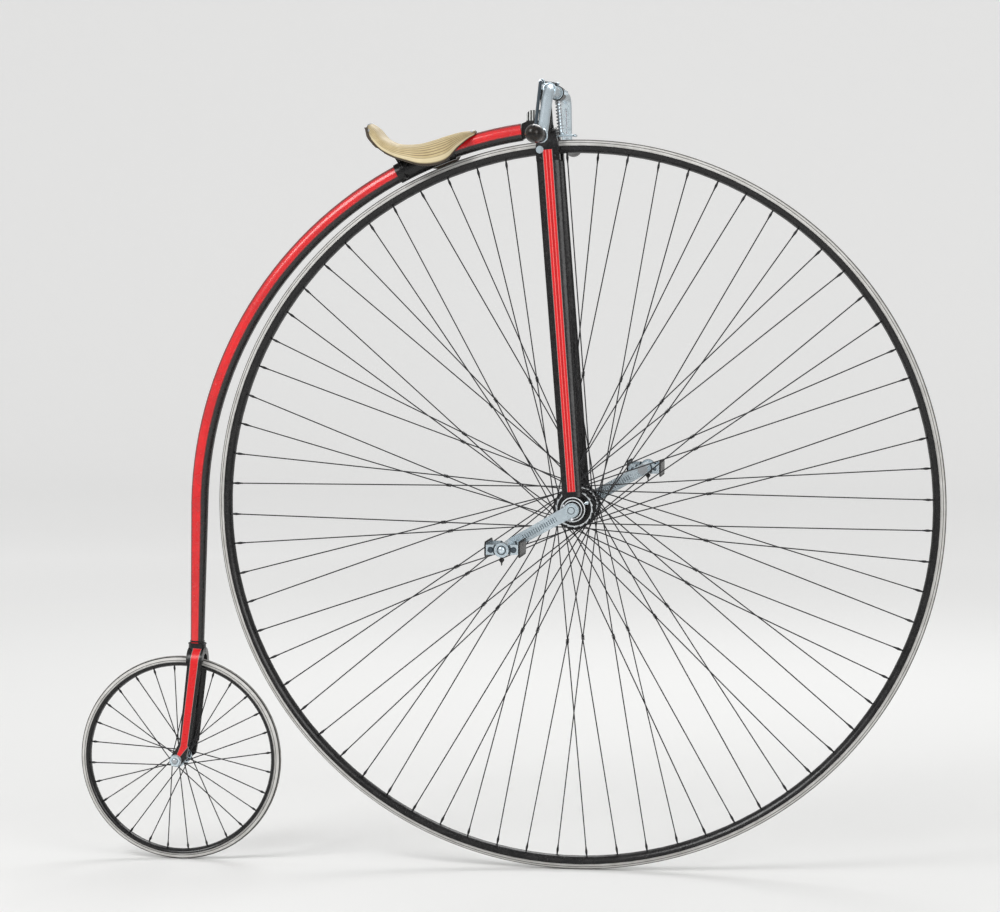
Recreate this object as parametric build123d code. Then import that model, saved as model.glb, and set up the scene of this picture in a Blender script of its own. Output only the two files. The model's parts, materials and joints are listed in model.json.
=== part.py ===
from build123d import *
import math
import os

os.makedirs("parts", exist_ok=True)

# High wheel bicycle, millimetres. Working frame: the front wheel's centre stands over the
# zero point, the ground is Z = 0, +X is the way it travels and +Y is the rider's left.
# The written pieces are moved so that the zero point is the rider's seat.

# Wheels
front_wheel_dia = 1372.0
front_tyre_dia = 22.0
front_rim_half_width = 14.5
front_rim_depth = 14.0
front_tyre_in_rim = 10.5
front_spoke_count = 72
front_spoke_phase = 11.7
front_spoke_dia = 2.8
front_butt_dia = 5.0
front_butt_length = 19.0
rear_wheel_dia = 392.0
rear_tyre_dia = 18.0
rear_rim_half_width = 11.5
rear_rim_depth = 8.0
rear_tyre_in_rim = 6.5
rear_spoke_count = 28
rear_spoke_phase = 4.2
rear_spoke_dia = 2.6
rear_butt_dia = 4.6
rear_butt_length = 11.0
tyre_gap = 26.0
seat_gap = 0.1
running_gap = 0.05

# Front hub, axle and bearings
front_axle_dia = 17.0
hub_flange_dia = 78.0
hub_flange_thick = 5.0
hub_flange_y = 48.5
hub_barrel_dia = 44.0
bearing_inner_y = 58.5
bearing_width = 17.5
bearing_dia = 48.0
bearing_lip_dia = 40.0
bearing_lip_width = 3.0

# Cranks and pedals
crank_throw = 133.0
crank_down_angle = 29.5
crank_y = 91.0
crank_thick = 10.0
crank_boss_dia = 27.0
crank_boss_width = 14.0
crank_root_width = 24.0
crank_end_width = 21.0
crank_flute_width = 6.0
crank_flute_length = 58.0
crank_flute_depth = 1.5
axle_cap_dia = 20.0
axle_cap_thick = 4.0
pedal_pin_dia = 10.0
pedal_gap = 7.0
pedal_length = 92.0
pedal_reach = 31.0
pedal_plate_thick = 3.0
pedal_plate_height = 18.0
pedal_tooth = 6.0
pedal_barrel_dia = 20.0
pedal_end_thick = 4.0
pedal_end_height = 18.0
pedal_end_lug = 17.0
pedal_end_waist = 11.0
pedal_cap_dia = 27.0
pedal_cap_depth = 8.0

# Steering and front fork, measured up the steering axis from the front hub
rake = 4.5
tyre_clearance = 7.0
crown_inner_radius = 23.0
crown_wall = 17.0
crown_leg = 22.0
crown_half_depth = 22.0
crown_top_half_depth = 15.0
blade_top_depth = 45.0
blade_bottom_depth = 37.0
blade_top_thick = 17.0
blade_bottom_thick = 15.0
pillar_inner_y = 22.0
pillar_thick = 8.0
pillar_half_depth = 7.0
head_height = 70.0
crown_boss_height = 4.0
spindle_below_cap = 3.0
head_cap_thick = 16.0
head_cap_half_depth = 10.0
spindle_dia = 16.0
spindle_cone = 5.0
spindle_tip_dia = 6.0
cone_gap = 0.3
head_bolt_dia = 12.0
head_nut_dia = 16.0
head_nut_thick = 7.0
head_bolt_end = 2.0

# Handlebar, grips and brake
bar_dia = 20.0
bar_lug_dia = 28.0
bar_lug_half_length = 20.0
bar_to_head_gap = 3.0
bar_shoulder_y = 140.0
bar_low_y = 198.0
bar_drop = 88.0
bar_low_forward = 11.0
bar_bend_radius = 45.0
grip_start_y = 237.0
grip_end_y = 330.0
grip_neck_dia = 20.0
grip_ball_dia = 32.0
lever_dia = 6.0
lever_gap = 1.0
lever_end_y = 228.0
rod_dia = 7.0
spoon_clearance = 5.5
spoon_thick = 3.0
spoon_half_width = 11.0
spoon_start = 19.5
spoon_end = 50.0
lever_post_width = 8.0

# Backbone, neck and rear fork
backbone_dia = 33.0
backbone_foot_dia = 26.0
backbone_clearance = 5.5
backbone_head_angle = 98.5
backbone_waist_clearance = 22.0
backbone_waist_lead = 1.312586
backbone_foot_ahead = 33.4
backbone_foot_rise = 17.0
neck_thick = 14.0
neck_step = 9.0
neck_corner = 7.0
neck_below_cap = 20.0
rear_crown_inner_radius = 17.0
rear_crown_wall = 13.0
rear_crown_half_depth = 15.5
rear_crown_clearance = 7.5
rear_socket_height = 8.0
rear_socket_depth = 8.0
rear_socket_wall = 2.5
rear_blade_ahead = 16.0
rear_blade_above = 27.0
rear_blade_bottom_y = 39.0
rear_blade_top_depth = 29.0
rear_blade_bottom_depth = 21.0
rear_blade_top_thick = 12.0
rear_blade_bottom_thick = 9.0
rear_eye_dia = 24.0
rear_eye_thick = 8.0
rear_axle_dia = 10.0
rear_nut_dia = 19.0
rear_nut_thick = 7.0
rear_flange_dia = 30.0
rear_flange_thick = 4.0
rear_flange_y = 25.5
rear_barrel_dia = 20.0

# Saddle
seat_behind_head = 213.0
seat_rise = 43.0
leather_thick = 4.5
clip_wall = 2.5
clip_bottom_wall = 1.5
clip_front = 84.0
clip_rear = -22.0
spring_front = 46.0
spring_thick = 2.5
spring_half_width = 11.0
spring_riser_thick = 6.0
cantle_gap = 3.4

front_radius = front_wheel_dia / 2
rear_radius = rear_wheel_dia / 2
wheelbase = math.sqrt((front_radius + rear_radius + tyre_gap) ** 2 - (front_radius - rear_radius) ** 2)
front_hub = Location((0, 0, front_radius))
rear_hub = Location((-wheelbase, 0, rear_radius))
fork_frame = front_hub * Rotation(0, -rake, 0)

# Saddle stations from back to nose, from the rider's point: x, top of the leather, half width,
# bottom of the flap
saddle_stations = [
    (-76.0, 40.0, 30.0, 30.0),
    (-62.0, 37.5, 50.0, 6.0),
    (-42.0, 14.0, 61.0, -13.0),
    (-12.0, 0.2, 69.0, -28.0),
    (12.0, 0.2, 71.0, -35.0),
    (40.0, 5.0, 70.0, -40.0),
    (66.0, 14.0, 63.0, -37.0),
    (90.0, 21.0, 50.0, -17.0),
    (110.0, 25.5, 29.0, 7.0),
    (126.0, 27.0, 15.0, 19.0),
]
cantle_station = saddle_stations[1]


def rod(start, end, dia):
    """Round bar from one point to another."""
    start = Vector(start)
    run = Vector(end) - start
    return Solid.make_cylinder(dia / 2, run.length, Plane(origin=start, z_dir=run))


def along_y(dia, y_low, y_high, x=0.0, z=0.0):
    """Round bar parallel to the axles."""
    return rod((x, y_low, z), (x, y_high, z), dia)


def block(x_low, x_high, y_low, y_high, z_low, z_high):
    """Rectangular block given by its faces."""
    centre = ((x_low + x_high) / 2, (y_low + y_high) / 2, (z_low + z_high) / 2)
    return Pos(*centre) * Box(x_high - x_low, y_high - y_low, z_high - z_low)


def hexagon_y(across, y_low, y_high, x=0.0, z=0.0):
    """Six-sided nut with its axis parallel to the axles."""
    face = Plane(origin=(x, y_low, z), x_dir=(1, 0, 0), z_dir=(0, 1, 0)) * RegularPolygon(
        across / 2, 6, major_radius=False)
    return extrude(face, y_high - y_low)


def bent_bar(points, radius, dia):
    """Round bar along straight runs joined by arcs."""
    path = FilletPolyline(*points, radius=radius)
    section = Plane(origin=path @ 0, z_dir=path % 0) * Circle(dia / 2)
    return sweep(section, path=path)


def oval_bar(top, top_size, bottom, bottom_size):
    """Straight blade between two ovals; a size is its depth along X and thickness along Y."""
    sections = []
    for centre, size in ((top, top_size), (bottom, bottom_size)):
        plane = Plane(origin=centre, x_dir=(1, 0, 0), z_dir=(0, 0, 1))
        sections.append(plane * Ellipse(size[0] / 2, size[1] / 2))
    return loft(sections)


def wheel_ring(radius, tyre_dia, tyre_in_rim, half_width, depth):
    """Solid tyre and its crescent rim, about the wheel's own centre."""
    tyre_centre = radius - tyre_dia / 2
    edge = radius - tyre_dia + tyre_in_rim
    tyre = revolve(Pos(tyre_centre, 0) * Circle(tyre_dia / 2), Axis.Y)
    section = Pos(edge, 0) * Ellipse(depth, half_width)
    section -= Pos(edge + half_width, 0) * Rectangle(2 * half_width, 4 * half_width)
    section -= Pos(tyre_centre, 0) * Circle(tyre_dia / 2 + seat_gap)
    return tyre, revolve(section, Axis.Y)


def laced_spokes(
        count, phase, dia, butt_dia, butt_length, hub_radius, hub_y, hub_step, rim_radius, rim_y, rim_step):
    """Tangent spokes: the sides alternate, and on each side they lean forward and back in turn."""
    spokes = []
    lean = math.degrees(math.acos(hub_radius / rim_radius))
    for index in range(count):
        side = 1 if index % 2 else -1
        turn = 1 if (index // 2) % 2 else -1
        rim_angle = math.radians(phase) + index * math.tau / count
        hub_angle = rim_angle + math.radians(turn * lean)
        hub_point = Vector(
            hub_radius * math.cos(hub_angle),
            side * (hub_y + turn * hub_step),
            hub_radius * math.sin(hub_angle))
        rim_point = Vector(
            rim_radius * math.cos(rim_angle),
            side * (rim_y + turn * rim_step),
            rim_radius * math.sin(rim_angle))
        run = (rim_point - hub_point).normalized()
        butt_start = rim_point - run * butt_length
        spokes.append(rod(hub_point, butt_start, dia) + rod(butt_start, rim_point, butt_dia))
    return spokes


# Front wheel
def front_wheel_pieces():
    tyre, rim = wheel_ring(
        front_radius, front_tyre_dia, front_tyre_in_rim, front_rim_half_width, front_rim_depth)
    rim_inner = front_radius - front_tyre_dia + front_tyre_in_rim - front_rim_depth
    spoke_circle = hub_flange_dia / 2 - 4.0
    spokes = laced_spokes(
        front_spoke_count, front_spoke_phase, front_spoke_dia, front_butt_dia, front_butt_length,
        spoke_circle, hub_flange_y, hub_flange_thick / 2 + front_spoke_dia / 2 - 0.4,
        rim_inner + 1.5, 5.2, 1.8)
    outline = Polyline(
        (front_axle_dia / 2 + running_gap, 0),
        (front_axle_dia / 2 + running_gap, bearing_inner_y - 1.0),
        (front_axle_dia / 2 + 4.0, bearing_inner_y - 1.0),
        (front_axle_dia / 2 + 6.0, hub_flange_y + hub_flange_thick / 2),
        (hub_flange_dia / 2, hub_flange_y + hub_flange_thick / 2),
        (hub_flange_dia / 2, hub_flange_y - hub_flange_thick / 2),
        (hub_barrel_dia / 2, hub_flange_y - hub_flange_thick / 2),
        (hub_barrel_dia / 2 - 5.0, 30.0),
        (hub_barrel_dia / 2 - 7.0, 0),
        close=True)
    half = revolve(make_face(outline), Axis.Y)
    hub = half + mirror(half, about=Plane.XZ)
    axle_end = crank_y + crank_boss_width / 2
    axle = along_y(front_axle_dia, -axle_end, axle_end)
    for side in (-1, 1):
        low, high = sorted((side * axle_end, side * (axle_end + axle_cap_thick)))
        axle += along_y(axle_cap_dia, low, high)
    return {
        "front_tyre": [tyre],
        "front_rim": [rim],
        "front_spokes": spokes,
        "front_hub": [hub],
        "front_axle": [axle],
    }


def crank():
    """One crank along +X on its own axis, centred across Y = 0."""
    end_x = crank_throw
    flat = Plane.XZ.offset(-crank_thick / 2)
    web = Polyline(
        (0, crank_root_width / 2), (end_x, crank_end_width / 2),
        (end_x, -crank_end_width / 2), (0, -crank_root_width / 2), close=True)
    lever = extrude(flat * make_face(web), crank_thick)
    lever += along_y(crank_end_width, -crank_thick / 2, crank_thick / 2, x=end_x)
    lever += along_y(crank_boss_dia, -crank_boss_width / 2, crank_boss_width / 2)
    lever -= along_y(front_axle_dia + 2 * running_gap, -crank_boss_width, crank_boss_width)
    lever -= along_y(pedal_pin_dia + 2 * seat_gap, -crank_thick, crank_thick, x=end_x)
    outer_face = Plane.XZ.offset(crank_flute_depth - crank_thick / 2)
    flute = SlotOverall(crank_flute_length, crank_flute_width)
    return lever - extrude(outer_face * Pos(end_x / 2, 0) * flute, -crank_flute_depth)


def pedal_pin():
    """Pin through the crank's end, from Y = 0 at the crank's middle outwards along +Y."""
    half = crank_thick / 2
    pedal_start = half + pedal_gap
    pin = along_y(pedal_pin_dia, -half - 8.0, pedal_start + pedal_length + pedal_cap_depth / 2, x=crank_throw)
    pin += hexagon_y(18.0, -half - 7.0, -half - seat_gap / 2, x=crank_throw)
    pin += along_y(19.0, half + seat_gap / 2, half + 4.0, x=crank_throw)
    return pin


def pedal_frame():
    """Barrel, end plates and dust cap, on the pin's axis, from Y = 0 at the inner end."""
    barrel = along_y(pedal_barrel_dia, 0, pedal_length)
    inner_half = pedal_reach - pedal_plate_thick / 2
    high, waist, lug = pedal_end_height / 2, pedal_end_waist / 2, inner_half - pedal_end_lug
    corners = [(inner_half, high), (lug, high), (lug - high + waist, waist)]
    upper = corners + [(-x, z) for x, z in reversed(corners)]
    plate = make_face(Polyline(*upper, *[(x, -z) for x, z in reversed(upper)], close=True))
    for y_high in (pedal_end_thick, pedal_length):
        barrel += extrude(Plane.XZ.offset(-y_high) * plate, pedal_end_thick)
    barrel += along_y(pedal_cap_dia, pedal_length - pedal_end_thick, pedal_length + pedal_cap_depth)
    bore = along_y(pedal_pin_dia + 2 * running_gap, -1.0, pedal_length + pedal_cap_depth / 2 + 1.0)
    return barrel - bore


def pedal_plates():
    """The two saw-edged treads, front and back of the barrel."""
    teeth = 7
    pitch = pedal_length / teeth
    low = pedal_plate_height / 2
    points = []
    for index in range(teeth):
        points.append((index * pitch, low))
        points.append(((index + 0.5) * pitch, low + pedal_tooth))
    points.append((pedal_length, low))
    points += [(y, -z) for y, z in reversed(points)]
    outline = make_face(Polyline(*points, close=True))
    treads = []
    for side in (-1, 1):
        x_low = side * pedal_reach - pedal_plate_thick / 2
        treads.append(extrude(Plane.YZ.offset(x_low) * outline, pedal_plate_thick))
    return treads


def crank_set(side):
    """Crank, pin and pedal of one side: -1 is the right, which points back and down."""
    angle = 180.0 - crank_down_angle if side < 0 else -crank_down_angle
    swing = front_hub * Rotation(0, angle, 0)
    name = "right" if side < 0 else "left"
    pedal_y = crank_y + crank_thick / 2 + pedal_gap
    crank_radians = math.radians(angle)
    pin_x = crank_throw * math.cos(crank_radians)
    pin_z = front_radius - crank_throw * math.sin(crank_radians)
    outward = (lambda shape: shape) if side > 0 else (lambda shape: mirror(shape, about=Plane.XZ))
    pedal_place = Location((pin_x, side * pedal_y, pin_z))
    return {
        "crank_" + name: [swing * Pos(0, side * crank_y, 0) * outward(crank())],
        "pedal_pin_" + name: [swing * Pos(0, side * crank_y, 0) * outward(pedal_pin())],
        "pedal_frame_" + name: [pedal_place * outward(pedal_frame())],
        "pedal_treads_" + name: [pedal_place * outward(tread) for tread in pedal_plates()],
    }


# Front fork, in its own upright frame with the front hub at zero
crown_arch_z = front_radius + tyre_clearance - crown_inner_radius
crown_outer_radius = crown_inner_radius + crown_wall
crown_top = crown_arch_z + crown_outer_radius
crown_foot = crown_arch_z - crown_leg
head_cap_low = crown_top + head_height - head_cap_thick
head_top = crown_top + head_height
bar_height = head_top - head_cap_thick / 2
bar_forward = head_cap_half_depth + bar_dia / 2 + bar_to_head_gap
spindle_low = crown_top + crown_boss_height + cone_gap
spindle_high = head_cap_low - spindle_below_cap
lever_crest = bar_height + bar_lug_dia / 2 + lever_dia / 2 + lever_gap
lever_post_x = bar_forward - 4.0
lever_post_y = -16.0
blade_top_y = crown_inner_radius + blade_top_thick / 2
blade_bottom_y = bearing_inner_y + bearing_width / 2


def fork_crown():
    """Arched crown over the tyre, with the open head's two pillars and its cap."""
    arch = Pos(0, crown_arch_z) * Circle(crown_outer_radius)
    arch += Pos(0, crown_arch_z - crown_leg / 2) * Rectangle(2 * crown_outer_radius, crown_leg)
    arch -= Pos(0, crown_arch_z) * Circle(crown_inner_radius)
    arch -= Pos(0, crown_arch_z - crown_outer_radius) * Rectangle(2 * crown_inner_radius, 2 * crown_outer_radius)
    below = Pos(0, crown_foot - crown_outer_radius) * Rectangle(3 * crown_outer_radius, 2 * crown_outer_radius)
    arch -= below
    crown = extrude(Plane.YZ.offset(-crown_half_depth) * arch, 2 * crown_half_depth)
    side_view = Polyline(
        (-crown_half_depth, crown_foot), (-crown_half_depth, crown_arch_z),
        (-crown_top_half_depth, crown_top + 1), (crown_top_half_depth, crown_top + 1),
        (crown_half_depth, crown_arch_z), (crown_half_depth, crown_foot), close=True)
    crown &= extrude(Plane.XZ.offset(-crown_outer_radius) * make_face(side_view), 2 * crown_outer_radius)
    pillar_foot = crown_arch_z + crown_inner_radius + 2.0
    for side in (-1, 1):
        low, high = sorted((side * pillar_inner_y, side * (pillar_inner_y + pillar_thick)))
        crown += block(-pillar_half_depth, pillar_half_depth, low, high, pillar_foot, head_top)
    reach = pillar_inner_y + pillar_thick
    crown += block(-head_cap_half_depth, head_cap_half_depth, -reach, reach, head_cap_low, head_top)
    crown += rod((0, 0, crown_top - 6), (0, 0, crown_top + crown_boss_height), spindle_dia + 6)
    crown -= spindle(grow=cone_gap)
    crown -= rod((0, 0, head_cap_low - 1), (0, 0, head_top + 1), head_bolt_dia + 2 * seat_gap)
    return crown


def spindle(grow=0.0):
    """Upright pivot of the neck, pointed at both ends; its seats are grown by the gap."""
    radius = spindle_dia / 2 + grow
    tip = spindle_tip_dia / 2 + grow
    length = spindle_cone + grow
    middle = rod((0, 0, spindle_low), (0, 0, spindle_high), 2 * radius)
    bottom_point = Pos(0, 0, spindle_low - length / 2) * Cone(tip, radius, length)
    top_point = Pos(0, 0, spindle_high + length / 2) * Cone(radius, tip, length)
    return middle + bottom_point + top_point


def head_bolt():
    """Adjusting screw over the neck's upper point, with its lock nut."""
    screw = rod((0, 0, spindle_high + 0.5), (0, 0, head_top + head_nut_thick + head_bolt_end), head_bolt_dia)
    nut = Plane.XY.offset(head_top + seat_gap) * RegularPolygon(head_nut_dia / 2, 6, major_radius=False)
    screw += extrude(nut, head_nut_thick)
    return screw - spindle(grow=cone_gap)


def fork_blade(side):
    y = side * blade_bottom_y
    blade = oval_bar(
        (0, side * blade_top_y, crown_foot - seat_gap), (blade_top_depth, blade_top_thick),
        (0, y, bearing_dia / 2 - 2.0), (blade_bottom_depth, blade_bottom_thick))
    return blade - along_y(bearing_dia + 2 * seat_gap, y - bearing_width, y + bearing_width)


def bearing_case(side):
    """Round bearing housing at a blade's foot, with a stepped outer lip."""
    inner, outer = bearing_inner_y, bearing_inner_y + bearing_width
    low, high = sorted((side * inner, side * outer))
    case = along_y(bearing_dia, low, high)
    low, high = sorted((side * outer, side * (outer + bearing_lip_width)))
    case += along_y(bearing_lip_dia, low, high)
    return case - along_y(front_axle_dia + 2 * running_gap, -2 * outer, 2 * outer)


def bar_lug():
    """Cross socket in front of the head for the handlebar's halves, bored for the brake's plunger."""
    lug = along_y(bar_lug_dia, -bar_lug_half_length, bar_lug_half_length, x=bar_forward, z=bar_height)
    lug += block(head_cap_half_depth + seat_gap, bar_forward, -bar_lug_half_length, bar_lug_half_length,
                 head_cap_low + 3, head_top - 1)
    half = lever_post_width / 2
    lug += block(
        lever_post_x - half, lever_post_x + half, lever_post_y - half, lever_post_y + half,
        bar_height, lever_crest - lever_dia / 2 - seat_gap)
    behind = block(-2 * bar_lug_dia, head_cap_half_depth + seat_gap, -2 * bar_lug_dia, 2 * bar_lug_dia,
                   head_cap_low - bar_lug_dia, head_top + bar_lug_dia)
    bore = rod((bar_forward, 0, bar_height - bar_lug_dia), (bar_forward, 0, lever_crest), rod_dia + 2 * seat_gap)
    return lug - behind - bore


def bar_points(side, back=0.0, lift=0.0):
    """Route of one half of the handlebar, or of the lever that follows it."""
    low_height = bar_height - bar_drop
    return [
        (bar_forward - back, side * bar_lug_half_length, bar_height + lift),
        (bar_forward - back, side * bar_shoulder_y, bar_height + lift),
        (bar_low_forward - back, side * bar_low_y, low_height + lift),
        (bar_low_forward - back, side * grip_start_y, low_height + lift),
    ]


def grip(side):
    """Pear-shaped handle, thickest near its end."""
    length = grip_end_y - grip_start_y
    ball = grip_ball_dia / 2
    outline = [Line((0, 0), (0, grip_neck_dia / 2 + 2.5))]
    outline.append(Spline(
        (0, grip_neck_dia / 2 + 2.5), (length * 0.35, grip_neck_dia / 2),
        (length - ball, ball), (length, 0), tangents=((1, -0.2), (0, -1))))
    outline.append(Line((length, 0), (0, 0)))
    solid = revolve(make_face(outline), Axis.X)
    place = Pos(bar_low_forward, side * (grip_start_y + seat_gap), bar_height - bar_drop)
    return place * Rotation(0, 0, 90 * side) * solid


def brake_lever():
    """Lever behind the right half of the handlebar, brought over its shoulder to the plunger."""
    back = bar_dia / 2 + lever_dia / 2 + lever_gap
    route = bar_points(-1, back=back)
    shoulder, low = route[1], route[2]
    points = [
        (bar_forward, 0, lever_crest), (lever_post_x, lever_post_y, lever_crest),
        (shoulder[0], -bar_shoulder_y, lever_crest - 4), low, (low[0], -lever_end_y, low[2])]
    return bent_bar(points, 9.0, lever_dia)


def brake_plunger():
    """Upright rod through the lug, from the lever down to the spoon."""
    spoon_top = math.sqrt((front_radius + spoon_clearance + spoon_thick) ** 2 - (bar_forward - rod_dia / 2) ** 2)
    top = lever_crest - lever_dia / 2 - seat_gap
    return rod((bar_forward, 0, spoon_top + seat_gap), (bar_forward, 0, top), rod_dia)


def brake_spoon():
    """Curved shoe a finger's breadth of air above the tyre, just ahead of the crown."""
    inner = front_radius + spoon_clearance
    outer = inner + spoon_thick
    ring = Circle(outer) - Circle(inner)
    window = Pos((spoon_start + spoon_end) / 2, outer) * Rectangle(spoon_end - spoon_start, outer)
    section = ring & window
    return extrude(Plane.XZ.offset(-spoon_half_width) * section, 2 * spoon_half_width)


def fork_pieces():
    pieces = {
        "fork_crown": [fork_crown()],
        "head_bolt": [head_bolt()],
        "handlebar_lug": [bar_lug()],
        "brake_lever": [brake_lever()],
        "brake_plunger": [brake_plunger()],
        "brake_spoon": [brake_spoon()],
    }
    for side, name in ((-1, "right"), (1, "left")):
        pieces["fork_blade_" + name] = [fork_blade(side)]
        pieces["handlebar_" + name] = [bent_bar(bar_points(side), bar_bend_radius, bar_dia)]
        pieces["grip_" + name] = [grip(side)]
        pieces["bearing_" + name] = [bearing_case(side)]
    return pieces


# Backbone: one arc over the front wheel, then a straight taper to the rear fork
def backbone_arc():
    """Ends, centre and radius of the arc over the front wheel, which goes on smoothly as the foot.

    The foot's line runs a little inside the place where it would touch the waist's circle."""
    head_radius = front_radius + backbone_clearance + backbone_dia / 2
    head_angle = math.radians(backbone_head_angle)
    head = Vector(head_radius * math.cos(head_angle), 0, front_radius + head_radius * math.sin(head_angle))
    foot = Vector(backbone_foot_ahead - wheelbase, 0, rear_wheel_dia + backbone_foot_rise)
    waist_radius = front_radius + backbone_waist_clearance + backbone_dia / 2
    foot_angle = math.pi + math.atan2(front_radius - foot.Z, -foot.X)
    touch_angle = math.acos(waist_radius / math.hypot(foot.X, front_radius - foot.Z))
    waist_angle = foot_angle - touch_angle + math.radians(backbone_waist_lead)
    waist = Vector(waist_radius * math.cos(waist_angle), 0, front_radius + waist_radius * math.sin(waist_angle))
    up = (waist - foot).normalized()
    inward = Vector(up.Z, 0, -up.X)
    chord = head - waist
    radius = chord.dot(chord) / (2 * chord.dot(inward))
    return head, waist, foot, waist + inward * radius, radius


backbone_head, backbone_waist, backbone_foot, arc_centre, arc_radius = backbone_arc()
rear_crown_arch_z = (
    rear_radius + math.sqrt(rear_radius ** 2 - backbone_foot_ahead ** 2)
    + rear_crown_clearance - rear_crown_inner_radius)


def backbone_tube():
    bend_angle = (backbone_head - arc_centre).get_angle(backbone_waist - arc_centre)
    section = Plane(origin=backbone_waist, z_dir=backbone_waist - backbone_foot) * Circle(backbone_dia / 2)
    turning_axis = Axis(arc_centre, (0, 1, 0))
    bend = revolve(section, turning_axis, revolution_arc=bend_angle)
    low_section = Plane(origin=backbone_foot, z_dir=backbone_waist - backbone_foot) * Circle(backbone_foot_dia / 2)
    return bend + loft([low_section, section])


def backbone_height(x, offset):
    """Height over X of a line that lies the offset above the backbone's own line."""
    return arc_centre.Z + math.sqrt((arc_radius + offset) ** 2 - (x - arc_centre.X) ** 2)


rider_x = backbone_head.X - seat_behind_head
rider_point = Vector(rider_x, 0, backbone_height(rider_x, 0) + seat_rise)


def arc_strip(x_front, x_rear, low, high, half_width):
    """Strip that follows the backbone, between two offsets from its line."""
    ring = Circle(arc_radius + high) - Circle(arc_radius + low)
    span = x_front - x_rear
    window = Pos((x_front + x_rear) / 2 - arc_centre.X, arc_radius) * Rectangle(span, arc_radius)
    section = Plane(origin=arc_centre, x_dir=(1, 0, 0), z_dir=(0, -1, 0)) * (ring & window)
    return extrude(section, half_width, both=True)


def neck():
    """Forging between the backbone's end and the upright pivot, in the working frame."""
    pivot = fork_frame * spindle()
    axis_low = fork_frame * Location((0, 0, crown_top + 12))
    axis_high = fork_frame * Location((0, 0, head_cap_low - neck_below_cap))
    tail = backbone_head
    radius = backbone_dia / 2
    profile = Polyline(
        (tail.X, tail.Z - radius + 1), (tail.X + 9, tail.Z - radius + 6),
        (axis_low.position.X, axis_low.position.Z),
        (axis_high.position.X, axis_high.position.Z),
        (tail.X + neck_step + neck_corner, axis_high.position.Z - 1),
        (tail.X + neck_step, axis_high.position.Z - neck_corner),
        (tail.X + neck_step, tail.Z + radius + 3), (tail.X, tail.Z + radius - 1), close=True)
    web = extrude(Plane.XZ.offset(-neck_thick / 2) * make_face(profile), neck_thick)
    return pivot + web - backbone_tube()


def rear_crown():
    """Arched crown over the rear wheel with the socket for the backbone's foot."""
    z = rear_crown_arch_z
    outer = rear_crown_inner_radius + rear_crown_wall
    arch = Pos(0, z) * Circle(outer) - Pos(0, z) * Circle(rear_crown_inner_radius)
    arch -= Pos(0, z - outer) * Rectangle(4 * outer, 2 * outer)
    plane = Plane.YZ.offset(backbone_foot.X - rear_crown_half_depth)
    crown = extrude(plane * arch, 2 * rear_crown_half_depth)
    up = (backbone_waist - backbone_foot).normalized()
    socket_base = backbone_foot - up * rear_socket_depth
    socket = rod(socket_base, backbone_foot + up * rear_socket_height, backbone_foot_dia + 2 * rear_socket_wall + 2)
    crown += socket
    inner_arch = extrude(
        plane * (Pos(0, z) * Circle(rear_crown_inner_radius)
                 + Pos(0, z - outer) * Rectangle(2 * rear_crown_inner_radius, 2 * outer)),
        2 * rear_crown_half_depth)
    return crown - inner_arch - backbone_tube()


def rear_blade(side):
    top = (backbone_foot.X, side * (rear_crown_inner_radius + rear_crown_wall / 2), rear_crown_arch_z - seat_gap)
    blade_x = rear_blade_ahead - wheelbase
    blade_z = rear_radius + rear_blade_above
    bottom = (blade_x, side * rear_blade_bottom_y, blade_z)
    blade = oval_bar(
        top, (rear_blade_top_depth, rear_blade_top_thick),
        bottom, (rear_blade_bottom_depth, rear_blade_bottom_thick))
    half = rear_eye_thick / 2
    low, high = side * rear_blade_bottom_y - half, side * rear_blade_bottom_y + half
    eye = along_y(rear_eye_dia, low, high, x=-wheelbase, z=rear_radius)
    hook = make_face(Polyline(
        (blade_x - rear_blade_bottom_depth / 2, blade_z + 4),
        (blade_x + rear_blade_bottom_depth / 2 - 1, blade_z + 4),
        (blade_x + 4, rear_radius + 2), (-wheelbase + 4, rear_radius - rear_eye_dia / 2 + 1),
        (-wheelbase - rear_eye_dia / 2 + 1, rear_radius + 4), close=True))
    plate = extrude(Plane.XZ.offset(-high) * hook, rear_eye_thick)
    bore = along_y(rear_axle_dia + 2 * seat_gap, low - 1, high + 1, x=-wheelbase, z=rear_radius)
    return blade + plate + eye - bore


def rear_axle():
    end = rear_blade_bottom_y + rear_eye_thick / 2
    axle = along_y(rear_axle_dia, -end - rear_nut_thick - 2, end + rear_nut_thick + 2)
    for side in (-1, 1):
        low, high = sorted((side * (end + seat_gap), side * (end + rear_nut_thick)))
        axle += hexagon_y(rear_nut_dia, low, high)
    return rear_hub * axle


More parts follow.
